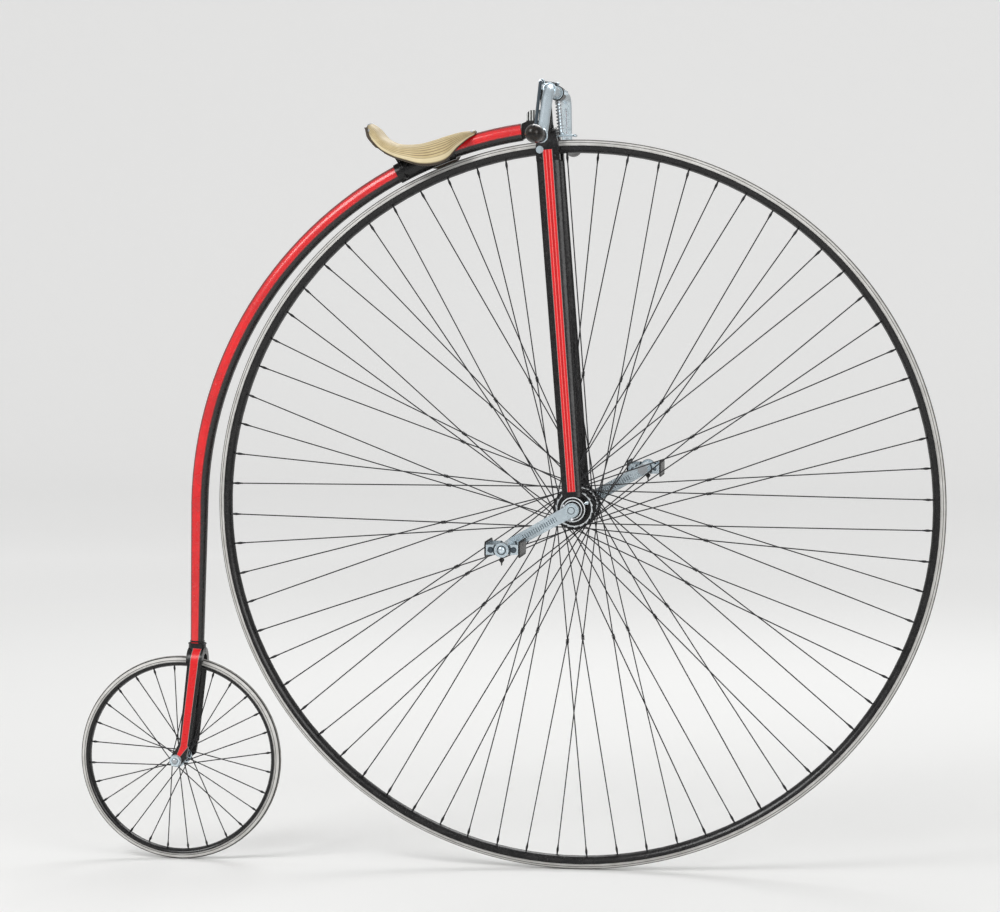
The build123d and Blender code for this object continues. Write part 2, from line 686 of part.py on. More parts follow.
def rear_wheel_pieces():
    tyre, rim = wheel_ring(
        rear_radius, rear_tyre_dia, rear_tyre_in_rim, rear_rim_half_width, rear_rim_depth)
    rim_inner = rear_radius - rear_tyre_dia + rear_tyre_in_rim - rear_rim_depth
    spokes = laced_spokes(
        rear_spoke_count, rear_spoke_phase, rear_spoke_dia, rear_butt_dia, rear_butt_length,
        rear_flange_dia / 2 - 4, rear_flange_y, rear_flange_thick / 2 + rear_spoke_dia / 2 - 0.3,
        rim_inner + 1.2, 3.0, 1.6)
    inner = rear_axle_dia / 2 + running_gap
    outline = Polyline(
        (inner, 0), (inner, rear_flange_y + 6), (inner + 4, rear_flange_y + 6),
        (inner + 5, rear_flange_y + rear_flange_thick / 2),
        (rear_flange_dia / 2, rear_flange_y + rear_flange_thick / 2),
        (rear_flange_dia / 2, rear_flange_y - rear_flange_thick / 2),
        (rear_barrel_dia / 2, rear_flange_y - rear_flange_thick / 2),
        (rear_barrel_dia / 2 - 3, 0), close=True)
    half = revolve(make_face(outline), Axis.Y)
    hub = half + mirror(half, about=Plane.XZ)
    return {
        "rear_tyre": [tyre], "rear_rim": [rim], "rear_spokes": spokes, "rear_hub": [hub],
    }


# Saddle
def saddle_leather():
    """Long leather seat, dished along its length, its flaps hanging at the sides."""
    sections = []
    for ahead, rise, half_width, drop in saddle_stations:
        x, top, edge = rider_point.X + ahead, rider_point.Z + rise, rider_point.Z + drop
        outer = ThreePointArc((-half_width, edge), (0, top), (half_width, edge))
        inner = ThreePointArc(
            (half_width - 2, edge), (0, top - leather_thick), (-half_width + 2, edge))
        face = make_face([outer, Line((half_width, edge), (half_width - 2, edge)), inner,
                          Line((-half_width + 2, edge), (-half_width, edge))])
        sections.append(Plane(origin=(x, 0, 0), x_dir=(0, 1, 0), z_dir=(1, 0, 0)) * face)
    return loft(sections)


def saddle_clip():
    """Sleeve clamped round the backbone under the seat."""
    inner = backbone_dia / 2 + seat_gap
    outer = inner + clip_wall
    ring = Circle(outer) - Circle(inner)
    ring -= Pos(0, -inner - clip_bottom_wall - outer) * Rectangle(2 * outer, 2 * outer)
    front_x, rear_x = rider_point.X + clip_front, rider_point.X + clip_rear
    centre = Vector(front_x, 0, backbone_height(front_x, 0))
    plane = Plane(origin=centre, x_dir=(0, 1, 0), z_dir=(centre - arc_centre).cross(Vector(0, 1, 0)))
    end = Vector(rear_x, 0, backbone_height(rear_x, 0))
    sweep_angle = (centre - arc_centre).get_angle(end - arc_centre)
    return revolve(plane * ring, Axis(arc_centre, (0, -1, 0)), revolution_arc=sweep_angle)


def saddle_spring():
    """Leaf from the nose over the clip, rising behind to carry the back of the seat."""
    low = backbone_dia / 2 + seat_gap + clip_wall + seat_gap
    high = low + spring_thick
    rear_x = rider_point.X + clip_rear
    foot_x = rear_x + spring_riser_thick
    leaf = arc_strip(rider_point.X + spring_front, rear_x, low, high, spring_half_width)
    cantle_x = rider_point.X + cantle_station[0]
    cantle_z = rider_point.Z + cantle_station[1] - leather_thick - cantle_gap
    riser = make_face(Polyline(
        (foot_x, backbone_height(foot_x, low + spring_thick / 2)),
        (rear_x, backbone_height(rear_x, low + spring_thick / 2)),
        (cantle_x, cantle_z),
        (cantle_x + spring_riser_thick, cantle_z - spring_riser_thick), close=True))
    return leaf + extrude(Plane.XZ.offset(-spring_half_width) * riser, 2 * spring_half_width)


def backbone_pieces():
    pieces = {
        "backbone_tube": [backbone_tube()],
        "neck": [neck()],
        "rear_crown": [rear_crown()],
        "rear_axle": [rear_axle()],
        "saddle_leather": [saddle_leather()],
        "saddle_clip": [saddle_clip()],
        "saddle_spring": [saddle_spring()],
    }
    for side, name in ((-1, "right"), (1, "left")):
        pieces["rear_blade_" + name] = [rear_blade(side)]
    return pieces


def write_pieces(pieces, place):
    """Write each node as one file, with the rider's seat at zero."""
    shift = Location(-rider_point)
    for name, solids in pieces.items():
        placed = [(shift * place * part) for part in solids]
        whole = []
        for part in placed:
            whole.extend(part.solids())
        shape = whole[0] if len(whole) == 1 else Compound(children=whole)
        export_step(shape, os.path.join("parts", name + ".step"))


write_pieces(backbone_pieces(), Location())
write_pieces(fork_pieces(), fork_frame)
write_pieces(front_wheel_pieces(), front_hub)
write_pieces(crank_set(-1), Location())
write_pieces(crank_set(1), Location())
write_pieces(rear_wheel_pieces(), rear_hub)
print("rider point", rider_point, "backbone arc radius", round(arc_radius, 1))
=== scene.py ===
import json
import math

import bmesh
import bpy
from mathutils import Matrix, Vector


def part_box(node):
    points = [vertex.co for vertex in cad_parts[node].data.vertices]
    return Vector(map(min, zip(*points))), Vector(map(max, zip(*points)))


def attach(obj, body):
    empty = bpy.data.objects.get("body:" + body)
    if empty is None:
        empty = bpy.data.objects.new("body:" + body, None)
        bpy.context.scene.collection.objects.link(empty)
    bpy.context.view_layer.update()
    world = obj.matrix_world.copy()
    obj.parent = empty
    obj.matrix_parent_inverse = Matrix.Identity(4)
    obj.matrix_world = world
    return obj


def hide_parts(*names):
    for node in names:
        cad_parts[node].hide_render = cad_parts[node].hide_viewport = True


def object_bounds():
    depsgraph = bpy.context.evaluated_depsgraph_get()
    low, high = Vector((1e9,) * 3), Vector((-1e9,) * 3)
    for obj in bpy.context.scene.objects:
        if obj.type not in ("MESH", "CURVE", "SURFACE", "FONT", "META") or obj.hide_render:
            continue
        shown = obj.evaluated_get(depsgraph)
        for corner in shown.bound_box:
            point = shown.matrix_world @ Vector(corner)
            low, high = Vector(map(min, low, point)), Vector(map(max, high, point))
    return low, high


# Looks of the high wheel bicycle. Sizes are in millimetres where MM follows them, and places are
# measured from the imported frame: its joints, the boxes of its nodes and the steering axis.
MM = 0.001
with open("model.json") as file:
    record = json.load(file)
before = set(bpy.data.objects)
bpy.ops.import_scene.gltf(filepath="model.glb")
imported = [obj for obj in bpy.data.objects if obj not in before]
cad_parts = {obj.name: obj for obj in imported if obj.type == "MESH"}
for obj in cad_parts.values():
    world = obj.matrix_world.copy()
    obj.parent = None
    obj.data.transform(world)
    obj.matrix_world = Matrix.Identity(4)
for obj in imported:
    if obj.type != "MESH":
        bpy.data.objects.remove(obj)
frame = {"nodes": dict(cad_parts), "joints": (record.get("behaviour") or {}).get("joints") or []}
cad_low, cad_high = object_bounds()

joints = {joint["name"]: joint for joint in frame["joints"]}
front_hub = Vector(joints["front_wheel_spin"]["pos_m"])
rear_hub = Vector(joints["rear_wheel_spin"]["pos_m"])
steer_up = Vector(joints["steering"]["axis"]).normalized()
left = Vector((0, 1, 0))
steer_ahead = left.cross(steer_up)
ground = cad_low.z
up = Vector((0, 0, 1))
NEARLY_PARALLEL = 1e-4


def half_size(node):
    low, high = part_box(node)
    return (high - low) / 2


def facing(origin, z_axis):
    """Placement whose Z runs along an axis."""
    z = Vector(z_axis).normalized()
    x = up.cross(z)
    if x.length < NEARLY_PARALLEL:
        x = Vector((1, 0, 0)).cross(z)
    x.normalize()
    place = Matrix((x, z.cross(x), z)).transposed().to_4x4()
    place.translation = origin
    return place


def on_fork(ahead, y, height):
    """Point given ahead of, beside and up the steering axis from the front hub."""
    return front_hub + steer_ahead * ahead + left * y + steer_up * height


# Camera, as the photograph was taken: from the right, a little ahead, level with the hub
camera_place = Vector((0.9416, -5.6, -0.2544))
camera_yaw = math.radians(7.83)
camera_pitch = math.radians(3.33)
camera_lens = 108.36

camera = bpy.data.objects.new("camera", bpy.data.cameras.new("camera"))
camera.data.lens = camera_lens
camera.data.sensor_width = 36.0
camera.location = camera_place
camera.rotation_euler = (math.pi / 2 - camera_pitch, 0, camera_yaw)
bpy.context.scene.collection.objects.link(camera)
bpy.context.scene.camera = camera
bpy.context.scene.view_settings.view_transform = "Standard"


# Sockets of a mix node that blends colours
MIX_FACTOR, MIX_FIRST, MIX_SECOND, MIX_RESULT = 0, 6, 7, 2


# Finishes
class Finish:
    """A Principled material, with the nodes that feed it made one call at a time."""

    def __init__(self, name, **sockets):
        self.material = bpy.data.materials.new(name)
        self.material.use_nodes = True
        self.tree = self.material.node_tree
        self.shader = self.tree.nodes["Principled BSDF"]
        for socket, value in sockets.items():
            self.shader.inputs[socket.replace("_", " ")].default_value = value

    def feed(self, socket, value):
        if isinstance(value, bpy.types.NodeSocket):
            self.tree.links.new(value, socket)
        else:
            socket.default_value = value

    def node(self, kind, *values, **settings):
        node = self.tree.nodes.new(kind)
        for key, value in settings.items():
            setattr(node, key, value)
        for socket, value in zip(node.inputs, values):
            if value is not None:
                self.feed(socket, value)
        return node

    def math(self, operation, *values, clamp=False):
        return self.node("ShaderNodeMath", *values, operation=operation, use_clamp=clamp).outputs[0]

    def position(self):
        return self.node("ShaderNodeTexCoord").outputs["Object"]

    def vector(self, operation, *values, result=0):
        """Result of a vector operation, by its output's place or name."""
        return self.node("ShaderNodeVectorMath", *values, operation=operation).outputs[result]

    def times(self, product, *factors):
        for factor in factors:
            product = self.math("MULTIPLY", product, factor)
        return product

    def largest(self, values):
        """Largest of several values, and never below 0."""
        out = 0.0
        for value in values:
            out = self.math("MAXIMUM", out, value)
        return out

    def wave(self, value, pitch):
        """Sine wave of a given pitch, from -1 to 1."""
        return self.math("SINE", self.times(value, math.tau / pitch))

    def swing(self, value, size):
        """A value from 0 to 1 turned into a swing about zero."""
        return self.times(self.math("SUBTRACT", value, 0.5), size)

    def offset(self, origin):
        """Position measured from a point."""
        return self.vector("SUBTRACT", self.position(), tuple(origin))

    def along(self, origin, axis):
        """Distance from a point, measured along an axis."""
        return self.vector("DOT_PRODUCT", self.offset(origin), tuple(axis), result="Value")

    def radius_in_plane(self, origin, plane=(1, 0, 1)):
        """Distance from a point in a plane: that of the wheels, unless another is given."""
        flat = self.vector("MULTIPLY", self.offset(origin), plane)
        return self.vector("LENGTH", flat, result="Value")

    def noise(self, scale, detail=4.0, rough=0.5, stretch=None):
        where = self.position()
        if stretch:
            where = self.vector("MULTIPLY", where, stretch)
        node = self.node("ShaderNodeTexNoise")
        self.feed(node.inputs["Vector"], where)
        node.inputs["Scale"].default_value = scale
        node.inputs["Detail"].default_value = detail
        node.inputs["Roughness"].default_value = rough
        return node.outputs["Fac"]

    def band(self, value, low, high, soft):
        """1 between two values and 0 outside them, with soft edges."""
        rise = self.spread(value, low - soft, low + soft, 0, 1)
        fall = self.spread(value, high - soft, high + soft, 1, 0)
        return self.math("MULTIPLY", rise, fall)

    def spread(self, value, low, high, to_low, to_high):
        node = self.node("ShaderNodeMapRange", value, low, high, to_low, to_high)
        return node.outputs["Result"]

    def mix(self, factor, first, second):
        node = self.node("ShaderNodeMix", data_type="RGBA")
        self.feed(node.inputs[MIX_FACTOR], factor)
        self.feed(node.inputs[MIX_FIRST], first)
        self.feed(node.inputs[MIX_SECOND], second)
        return node.outputs[MIX_RESULT]

    def blend(self, value, low, high, first, second):
        """One colour below the low value, another above the high one, and a mix between them."""
        return self.mix(self.spread(value, low, high, 0, 1), first, second)

    def rings(self, hub, rings, soft):
        """1 in rings about a hub, each given by its two radii in millimetres."""
        reach = self.radius_in_plane(hub)
        return self.largest(self.band(reach, low * MM, high * MM, soft) for low, high in rings)

    def colour(self, value):
        self.feed(self.shader.inputs["Base Color"], value)

    def roughness(self, value):
        self.feed(self.shader.inputs["Roughness"], value)

    def strip(self, origin, ahead, upward, low, high, half_low, half_high, reach=1.0):
        """1 on a strip that runs from low to high; reach widens it by that share."""
        height = self.along(origin, upward)
        side = self.math("ABSOLUTE", self.along(origin, ahead))
        across = self.math("DIVIDE", side, self.spread(height, low, high, half_low, half_high))
        ends = self.band(height, low, high, 0.3 * MM)
        return self.times(ends, self.spread(across, reach - 0.05, reach + 0.05, 1, 0))

    def bump(self, *layers):
        """Layers of (height, distance in metres), each on top of the one before."""
        normal = None
        for height, distance in layers:
            node = self.node("ShaderNodeBump")
            node.inputs["Distance"].default_value = distance
            self.feed(node.inputs["Height"], height)
            if normal:
                self.feed(node.inputs["Normal"], normal)
            normal = node.outputs["Normal"]
        self.feed(self.shader.inputs["Normal"], normal)


def rgb(red, green, blue):
    """Colour as a screen shows it, 0 to 255, in the shader's linear values."""
    out = []
    for value in (red, green, blue):
        value /= 255.0
        out.append(value / 12.92 if value < 0.04045 else ((value + 0.055) / 1.055) ** 2.4)
    return (*out, 1.0)


RED = rgb(222, 32, 36)
WORN_RED = rgb(190, 20, 26)
PANEL_RED = rgb(204, 24, 30)
# Dark red of the painted shade in the fork panel's core
FORK_SHADE_RED = rgb(188, 16, 20)
# Dark red of the painted shade on the backbone
BACKBONE_SHADE_RED = rgb(120, 8, 10)
# Pink of the painted highlight lines on the fork panel
FORK_HIGHLIGHT = rgb(236, 112, 110)
RED_PINHOLE = rgb(100, 60, 58)
PANEL_PINHOLE = rgb(70, 64, 62)
BLACK = rgb(7, 7, 8)
WORN_BLACK = rgb(22, 21, 22)
PINHOLE = rgb(84, 82, 80)
LINE_GREY = rgb(150, 146, 142)
POLISHED = rgb(232, 236, 238)
RUBBED = rgb(206, 208, 206)
NICKEL = rgb(216, 230, 238)
# Dark grey of the painted shade in the crank's notches
NOTCH_SHADE = rgb(92, 108, 118)
RING_GREY = rgb(48, 56, 62)
RUBBER = rgb(212, 211, 208)
CHALKY_RUBBER = rgb(182, 180, 176)
TREAD_GREY = rgb(122, 120, 116)
# Dark grey of the moulded lines, also of the painted shade round the tyres' outer edge
GROOVE_AND_EDGE_SHADE = rgb(40, 39, 38)
DARK_HORN = rgb(12, 11, 10)
BROWN_HORN = rgb(44, 35, 28)
BUFF = rgb(206, 188, 146)
DARK_BUFF = rgb(182, 162, 118)
PALE_BUFF = rgb(230, 217, 180)
# Brown of the painted shade in the saddle's creases
CREASE_SHADE = rgb(104, 84, 52)
# Dark brown of the painted shade at the saddle's back and nose
END_SHADE = rgb(58, 50, 40)
RIM_BROWN = rgb(50, 40, 30)
FLESH_BROWN = rgb(62, 51, 38)
GLOSS = {"IOR": 1.4, "Coat_Weight": 0.12, "Coat_Roughness": 0.12}


def enamel_skin(finish):
    """Hand-brushed gloss enamel: a faint ripple, pinholes, and polish that varies."""
    ripple = finish.noise(140, 3)
    pits = finish.spread(finish.noise(900, 2), 0.62, 0.72, 0, 1)
    finish.bump((ripple, 0.35 * MM), (pits, -0.12 * MM))
    worn = finish.noise(35, 5, 0.6)
    finish.roughness(finish.spread(worn, 0.3, 0.7, 0.16, 0.34))
    return worn, pits


def black_coat(name):
    """Black enamel to build on: the finish, its wear, its pinholes and its colour."""
    finish = Finish(name, **GLOSS)
    worn, pits = enamel_skin(finish)
    return finish, worn, pits, finish.blend(worn, 0.35, 0.75, BLACK, WORN_BLACK)


def black_enamel():
    finish, _, pits, tone = black_coat("black_enamel")
    finish.colour(finish.mix(pits, tone, PINHOLE))
    return finish.material


# The backbone's arc from the front hub, and the straight foot that goes on from it
arc_centre = front_hub + Vector((0.26, 0, -17.1)) * MM
arc_radius = 724.96 * MM
foot_slope = 0.0236
tube_radius_top = 16.5 * MM
tube_radius_foot = 13.0 * MM
foot_drop = 260.0 * MM
# Where the black painted shade along the inside of the curve ends and a dark red line of painted shade
# follows, in tube radii out from the tube's middle
SHADE_EDGE, SHADE_LINE_EDGE = -0.34, -0.27


def backbone_enamel():
    """Red enamel with painted shade: a black belly along the inside of the curve, a dark red line where it
    ends, and dark red along the outer edge.
    """
    finish = Finish("red_enamel_backbone", IOR=1.5, Coat_Weight=0.35, Coat_Roughness=0.1)
    worn, pits = enamel_skin(finish)
    split = finish.node("ShaderNodeSeparateXYZ", finish.offset(arc_centre))
    x, z = split.outputs["X"], split.outputs["Z"]
    above = finish.math("MAXIMUM", z, 0.0)
    below = finish.math("MAXIMUM", finish.times(z, -1.0), 0.0)
    reach = finish.math("SQRT", finish.math("ADD", finish.times(x, x), finish.times(above, above)))
    bowed = finish.math("SUBTRACT", reach, arc_radius)
    out = finish.math("SUBTRACT", bowed, finish.times(below, foot_slope))
    width = finish.spread(below, 0, foot_drop, tube_radius_top, tube_radius_foot)
    ragged = finish.swing(finish.noise(60, 4, 0.7), 0.07)
    across = finish.math("ADD", finish.math("DIVIDE", out, width), ragged)
    red = finish.blend(worn, 0.3, 0.75, RED, WORN_RED)
    # Painted shade laid over the red: dark red along the outer edge, a dark red line, and black along the
    # inside of the curve
    painted = finish.mix(finish.band(across, 0.72, 1.4, 0.08), red, BACKBONE_SHADE_RED)
    painted = finish.mix(finish.band(across, SHADE_EDGE, SHADE_LINE_EDGE, 0.02), painted, BACKBONE_SHADE_RED)
    painted = finish.mix(finish.band(across, -1.5, SHADE_EDGE, 0.02), painted, BLACK)
    finish.colour(finish.mix(pits, painted, RED_PINHOLE))
    return finish.material


def striped_enamel(name, strips, low, high, y_low, y_high, over, painted_light):
    """Black enamel whose outer side carries a red panel with light edges and, if asked, painted light: two
    pink lines of painted highlight with a dark red core of painted shade between them.

    Each strip is (origin, ahead, upward, low, high, half width at low, half width at high). The
    outer side lies beyond y, which changes from y_low to y_high between two heights of the first
    strip; above the height over, the panel runs on over the top."""
    finish, worn, pits, tone = black_coat(name)

    def on_strips(reach):
        return finish.largest(finish.strip(*strip, reach=reach) for strip in strips)

    origin, upward = strips[0][0], strips[0][2]
    height = finish.along(origin, upward)
    beside = finish.math("ABSOLUTE", finish.along(origin, left))
    face = finish.spread(height, low, high, y_low, y_high)
    outer = finish.spread(finish.math("SUBTRACT", beside, face), -0.3 * MM, 0.3 * MM, 0, 1)
    outer = finish.math("MAXIMUM", outer, finish.spread(height, over - 0.5 * MM, over, 0, 1))
    red = finish.blend(worn, 0.3, 0.75, RED, PANEL_RED)
    # Painted light: two pink lines of painted highlight, and painted shade in dark red between them
    if painted_light:
        red = finish.mix(on_strips(0.46), red, FORK_HIGHLIGHT)
        red = finish.mix(on_strips(0.30), red, FORK_SHADE_RED)
    painted = finish.mix(finish.times(outer, on_strips(1.1)), tone, LINE_GREY)
    painted = finish.mix(finish.times(outer, on_strips(1.0)), painted, red)
    finish.colour(finish.mix(pits, painted, PANEL_PINHOLE))
    return finish.material


def ringed_enamel(name, hub, rings):
    """Black enamel on turned metal, polished bright in rings round the axle."""
    finish, _, pits, tone = black_coat(name)
    bright = finish.rings(hub, rings, 0.2 * MM)
    finish.colour(finish.mix(bright, finish.mix(pits, tone, PINHOLE), POLISHED))
    finish.feed(finish.shader.inputs["Metallic"], finish.times(bright, 0.3))
    return finish.material


def ribbed_enamel():
    """Black forging with three upright ribs rubbed bright above the backbone."""
    finish, _, pits, tone = black_coat("ribbed_enamel")
    neck_low, neck_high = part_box("neck")
    across = finish.along(neck_low + Vector((9 * MM, 0, 0)), (1, 0, 0))
    height = finish.along(neck_high - up * 29 * MM, up)
    rib = finish.times(finish.spread(finish.wave(across, 5.2 * MM), -0.25, 0.1, 0, 1),
                       finish.spread(height, -14.5 * MM, -12 * MM, 0, 1))
    finish.colour(finish.mix(rib, finish.mix(pits, tone, PINHOLE), RUBBED))
    finish.bump((rib, 0.6 * MM))
    return finish.material


def notched_nickel(hub, out, across):
    """Nickel crank with a row of notches down the flute on its outer face, darkened inside with painted
    shade.
    """
    finish, shine = nickel_skin("nickel_crank")
    reach = finish.math("ABSOLUTE", finish.along(hub, out))
    side = finish.math("ABSOLUTE", finish.along(hub, across))
    notch = finish.times(finish.spread(finish.wave(reach, 4.6 * MM), 0.35, 0.8, 0, 1),
                         finish.band(reach, 33 * MM, 104 * MM, 0.3 * MM),
                         finish.spread(side, 4.4 * MM, 5.2 * MM, 1, 0))
    # Painted shade: dark grey in the notches
    finish.colour(finish.mix(finish.times(notch, 0.8), shine, NOTCH_SHADE))
    finish.bump((notch, -0.8 * MM))
    return finish.material


def plated_skin(name, tone, low_rough, high_rough, brush, metallic):
    """Polished plate: fine scratches, a cloudy film, and dull spots. Gives its colour back."""
    finish = Finish(name, Metallic=metallic)
    film = finish.noise(22, 5, 0.6)
    scratches = finish.noise(420, 3, 0.7, stretch=brush)
    spots = finish.spread(finish.noise(160, 4, 0.6), 0.64, 0.75, 0, 1)
    dull = finish.math("ADD", finish.spread(film, 0.3, 0.7, low_rough, high_rough), finish.times(spots, 0.18))
    finish.roughness(finish.math("ADD", dull, finish.times(scratches, 0.06)))
    darker = tuple(c * 0.72 for c in tone[:3]) + (1.0,)
    spotted = tuple(c * 0.45 for c in tone[:3]) + (1.0,)
    clouded = finish.blend(film, 0.35, 0.8, tone, darker)
    finish.bump((scratches, 0.03 * MM), (spots, -0.05 * MM))
    return finish, finish.mix(spots, clouded, spotted)


def plated(name, tone, low_rough, high_rough, metallic, brush=(1, 1, 1)):
    finish, shine = plated_skin(name, tone, low_rough, high_rough, brush, metallic)
    finish.colour(shine)
    return finish.material


def nickel_skin(name):
    return plated_skin(name, NICKEL, 0.16, 0.3, (1, 1, 1), 0.8)


def capped_nickel(name, hub, rings):
    """Nickel on turned metal with dark rings round its axle."""
    finish, shine = nickel_skin(name)
    ring = finish.rings(hub, rings, 0.25 * MM)
    finish.colour(finish.mix(finish.times(ring, 0.88), shine, RING_GREY))
    return finish.material


def tyre_rubber(name, hub, radius, line, edge):
    """Old pale rubber: chalky bloom, a dark moulded line on each flank, a grey, worn tread, and a dark band
    of painted shade just in from the tread.

    The line and the inner edge of the band of painted shade are millimetres in from the radius."""
    finish = Finish(name, Roughness=0.8, IOR=1.45)
    chalk = finish.noise(28, 6, 0.65)
    grain = finish.noise(700, 3)
    tone = finish.blend(chalk, 0.3, 0.7, RUBBER, CHALKY_RUBBER)
    reach = finish.radius_in_plane(hub)
    tread = finish.spread(reach, radius - 1.2 * MM, radius - 0.8 * MM, 0, 1)
    grime = finish.times(tread, finish.spread(finish.noise(90, 4), 0.3, 0.6, 0.7, 1))
    groove = finish.band(reach, radius - (line + 0.6) * MM, radius - (line - 0.6) * MM, 0.15 * MM)
    # Painted shade: a dark band round the outer edge, just in from the tread
    border = finish.band(reach, radius - edge * MM, radius - 1.0 * MM, 0.2 * MM)
    dark = finish.math("MAXIMUM", border, finish.times(groove, 0.9))
    finish.colour(finish.mix(dark, finish.mix(grime, tone, TREAD_GREY), GROOVE_AND_EDGE_SHADE))
    finish.roughness(finish.spread(chalk, 0.3, 0.7, 0.7, 0.9))
    finish.bump((grain, 0.12 * MM), (chalk, 0.25 * MM))
    return finish.material


def horn():
    """Polished dark horn with brown streaks along the grip."""
    finish = Finish("horn", IOR=1.36, Coat_Weight=0.12, Coat_Roughness=0.1)
    streak = finish.noise(60, 5, 0.6, stretch=(3, 0.5, 3))
    finish.colour(finish.blend(streak, 0.4, 0.75, DARK_HORN, BROWN_HORN))
    finish.roughness(finish.spread(streak, 0.3, 0.8, 0.2, 0.36))
    finish.bump((streak, 0.08 * MM))
    return finish.material


# The underside's texture coordinates are lifted by this much, to tell it from the top
UNDERSIDE = 2.0
# Creases from the ridge to each edge, and how strongly they crowd towards the edge
CREASES, CROWDING = 11.0, 2.2
PORE_SCALE = 620


def saddle_hide():
    """Buff bridle leather: creases that run its length, darkened with painted shade, pores, darkened edges,
    painted shade at the back and the nose, and a dark flesh side.
    """
    finish = Finish("buff_leather", IOR=1.45, Sheen_Weight=0.1)
    pores = finish.node("ShaderNodeTexVoronoi", feature="DISTANCE_TO_EDGE")
    finish.feed(pores.inputs["Vector"], finish.position())
    pores.inputs["Scale"].default_value = PORE_SCALE
    pebble = finish.spread(pores.outputs["Distance"], 0.0, 0.12, 0, 1)
    mottle = finish.noise(30, 6, 0.6)
    run = finish.node("ShaderNodeUVMap", uv_map="hide")
    where = finish.node("ShaderNodeSeparateXYZ", run.outputs["UV"])
    along, lifted = where.outputs["X"], where.outputs["Y"]
    under = finish.spread(lifted, 1.4, 1.6, 0, 1)
    across = finish.math("SUBTRACT", lifted, finish.times(under, UNDERSIDE))
    hem = finish.math("ABSOLUTE", finish.math("SUBTRACT", across, 0.5))
    share = finish.times(hem, 2.0)
    lane = finish.math("ADD", finish.times(finish.math("POWER", share, CROWDING), CREASES),
                       finish.swing(finish.noise(18, 3), 0.4))
    crease = finish.spread(finish.wave(lane, 1.0), 0.5, 0.95, 0, 1)
    broken = finish.spread(finish.noise(40, 4, 0.6, stretch=(0.4, 1, 1)), 0.3, 0.46, 0.15, 1)
    crease = finish.times(crease, finish.times(broken, finish.band(share, 0.46, 0.92, 0.06)))
    rim = finish.spread(hem, 0.474, 0.486, 0, 1)
    pale = finish.band(hem, 0.442, 0.476, 0.008)
    # Painted shade at the back and the nose
    ends = finish.math("MAXIMUM", finish.spread(along, 0.05, 0.1, 1, 0),
                       finish.spread(along, 0.965, 0.99, 0, 0.8))
    buff = finish.blend(mottle, 0.3, 0.7, BUFF, DARK_BUFF)
    # Painted shade: brown in the creases
    buff = finish.mix(finish.times(crease, 0.9), buff, CREASE_SHADE)
    buff = finish.mix(finish.times(pale, 0.6), buff, PALE_BUFF)
    buff = finish.mix(finish.times(ends, 0.85), buff, END_SHADE)
    finish.colour(finish.mix(under, finish.mix(rim, buff, RIM_BROWN), FLESH_BROWN))
    finish.roughness(finish.spread(mottle, 0.3, 0.7, 0.42, 0.62))
    finish.bump((crease, -0.5 * MM), (pebble, 0.12 * MM), (mottle, 0.4 * MM))
    return finish.material


def paper_floor():
    """Pale studio floor: white enough behind the object, and it keeps the shadow."""
    finish = Finish("floor", Roughness=0.95, Base_Color=rgb(228, 228, 227))
    finish.shader.inputs["Specular IOR Level"].default_value = 0.1
    finish.feed(finish.shader.inputs["Emission Color"], (1, 1, 1, 1))
    seen = finish.node("ShaderNodeLightPath").outputs["Is Camera Ray"]
    away = finish.spread(finish.radius_in_plane((0, 0, 0), (1, 1, 0)), 1.0, 6.5, 0.0, 0.32)
    finish.feed(finish.shader.inputs["Emission Strength"], finish.times(seen, away))
    return finish.material


# The red panels' strips, as striped_enamel takes them
hook = Vector((16.0, 0, 27.0)) * MM
hook_up = hook.normalized()
rear_blade_up = Vector((17.4, 0, 156.6)).normalized()
rear_strips = [
    (rear_hub + hook, left.cross(rear_blade_up), rear_blade_up, -3 * MM, 186 * MM, 6.2 * MM, 7.4 * MM),
    (rear_hub, left.cross(hook_up), hook_up, 9 * MM, 36 * MM, 3.2 * MM, 6.6 * MM),
]
fork_strip = (front_hub, steer_ahead, steer_up, 33 * MM, 668 * MM, 7.0 * MM, 8.2 * MM)

pedal_axes = {word: Vector(joints[f"pedal_{word}_spin"]["pos_m"]) for word in ("right", "left")}
crank_out = pedal_axes["left"] - front_hub
crank_out.y = 0
crank_out.normalize()
crank_across = left.cross(crank_out)
# Dark rings of the axles' and the pedals' caps, by their radii in millimetres
AXLE_RINGS, REAR_AXLE_RINGS = [(5.6, 7.0)], [(5.2, 6.2)]
PEDAL_RINGS = [(6.4, 8.8), (13.3, 17)]

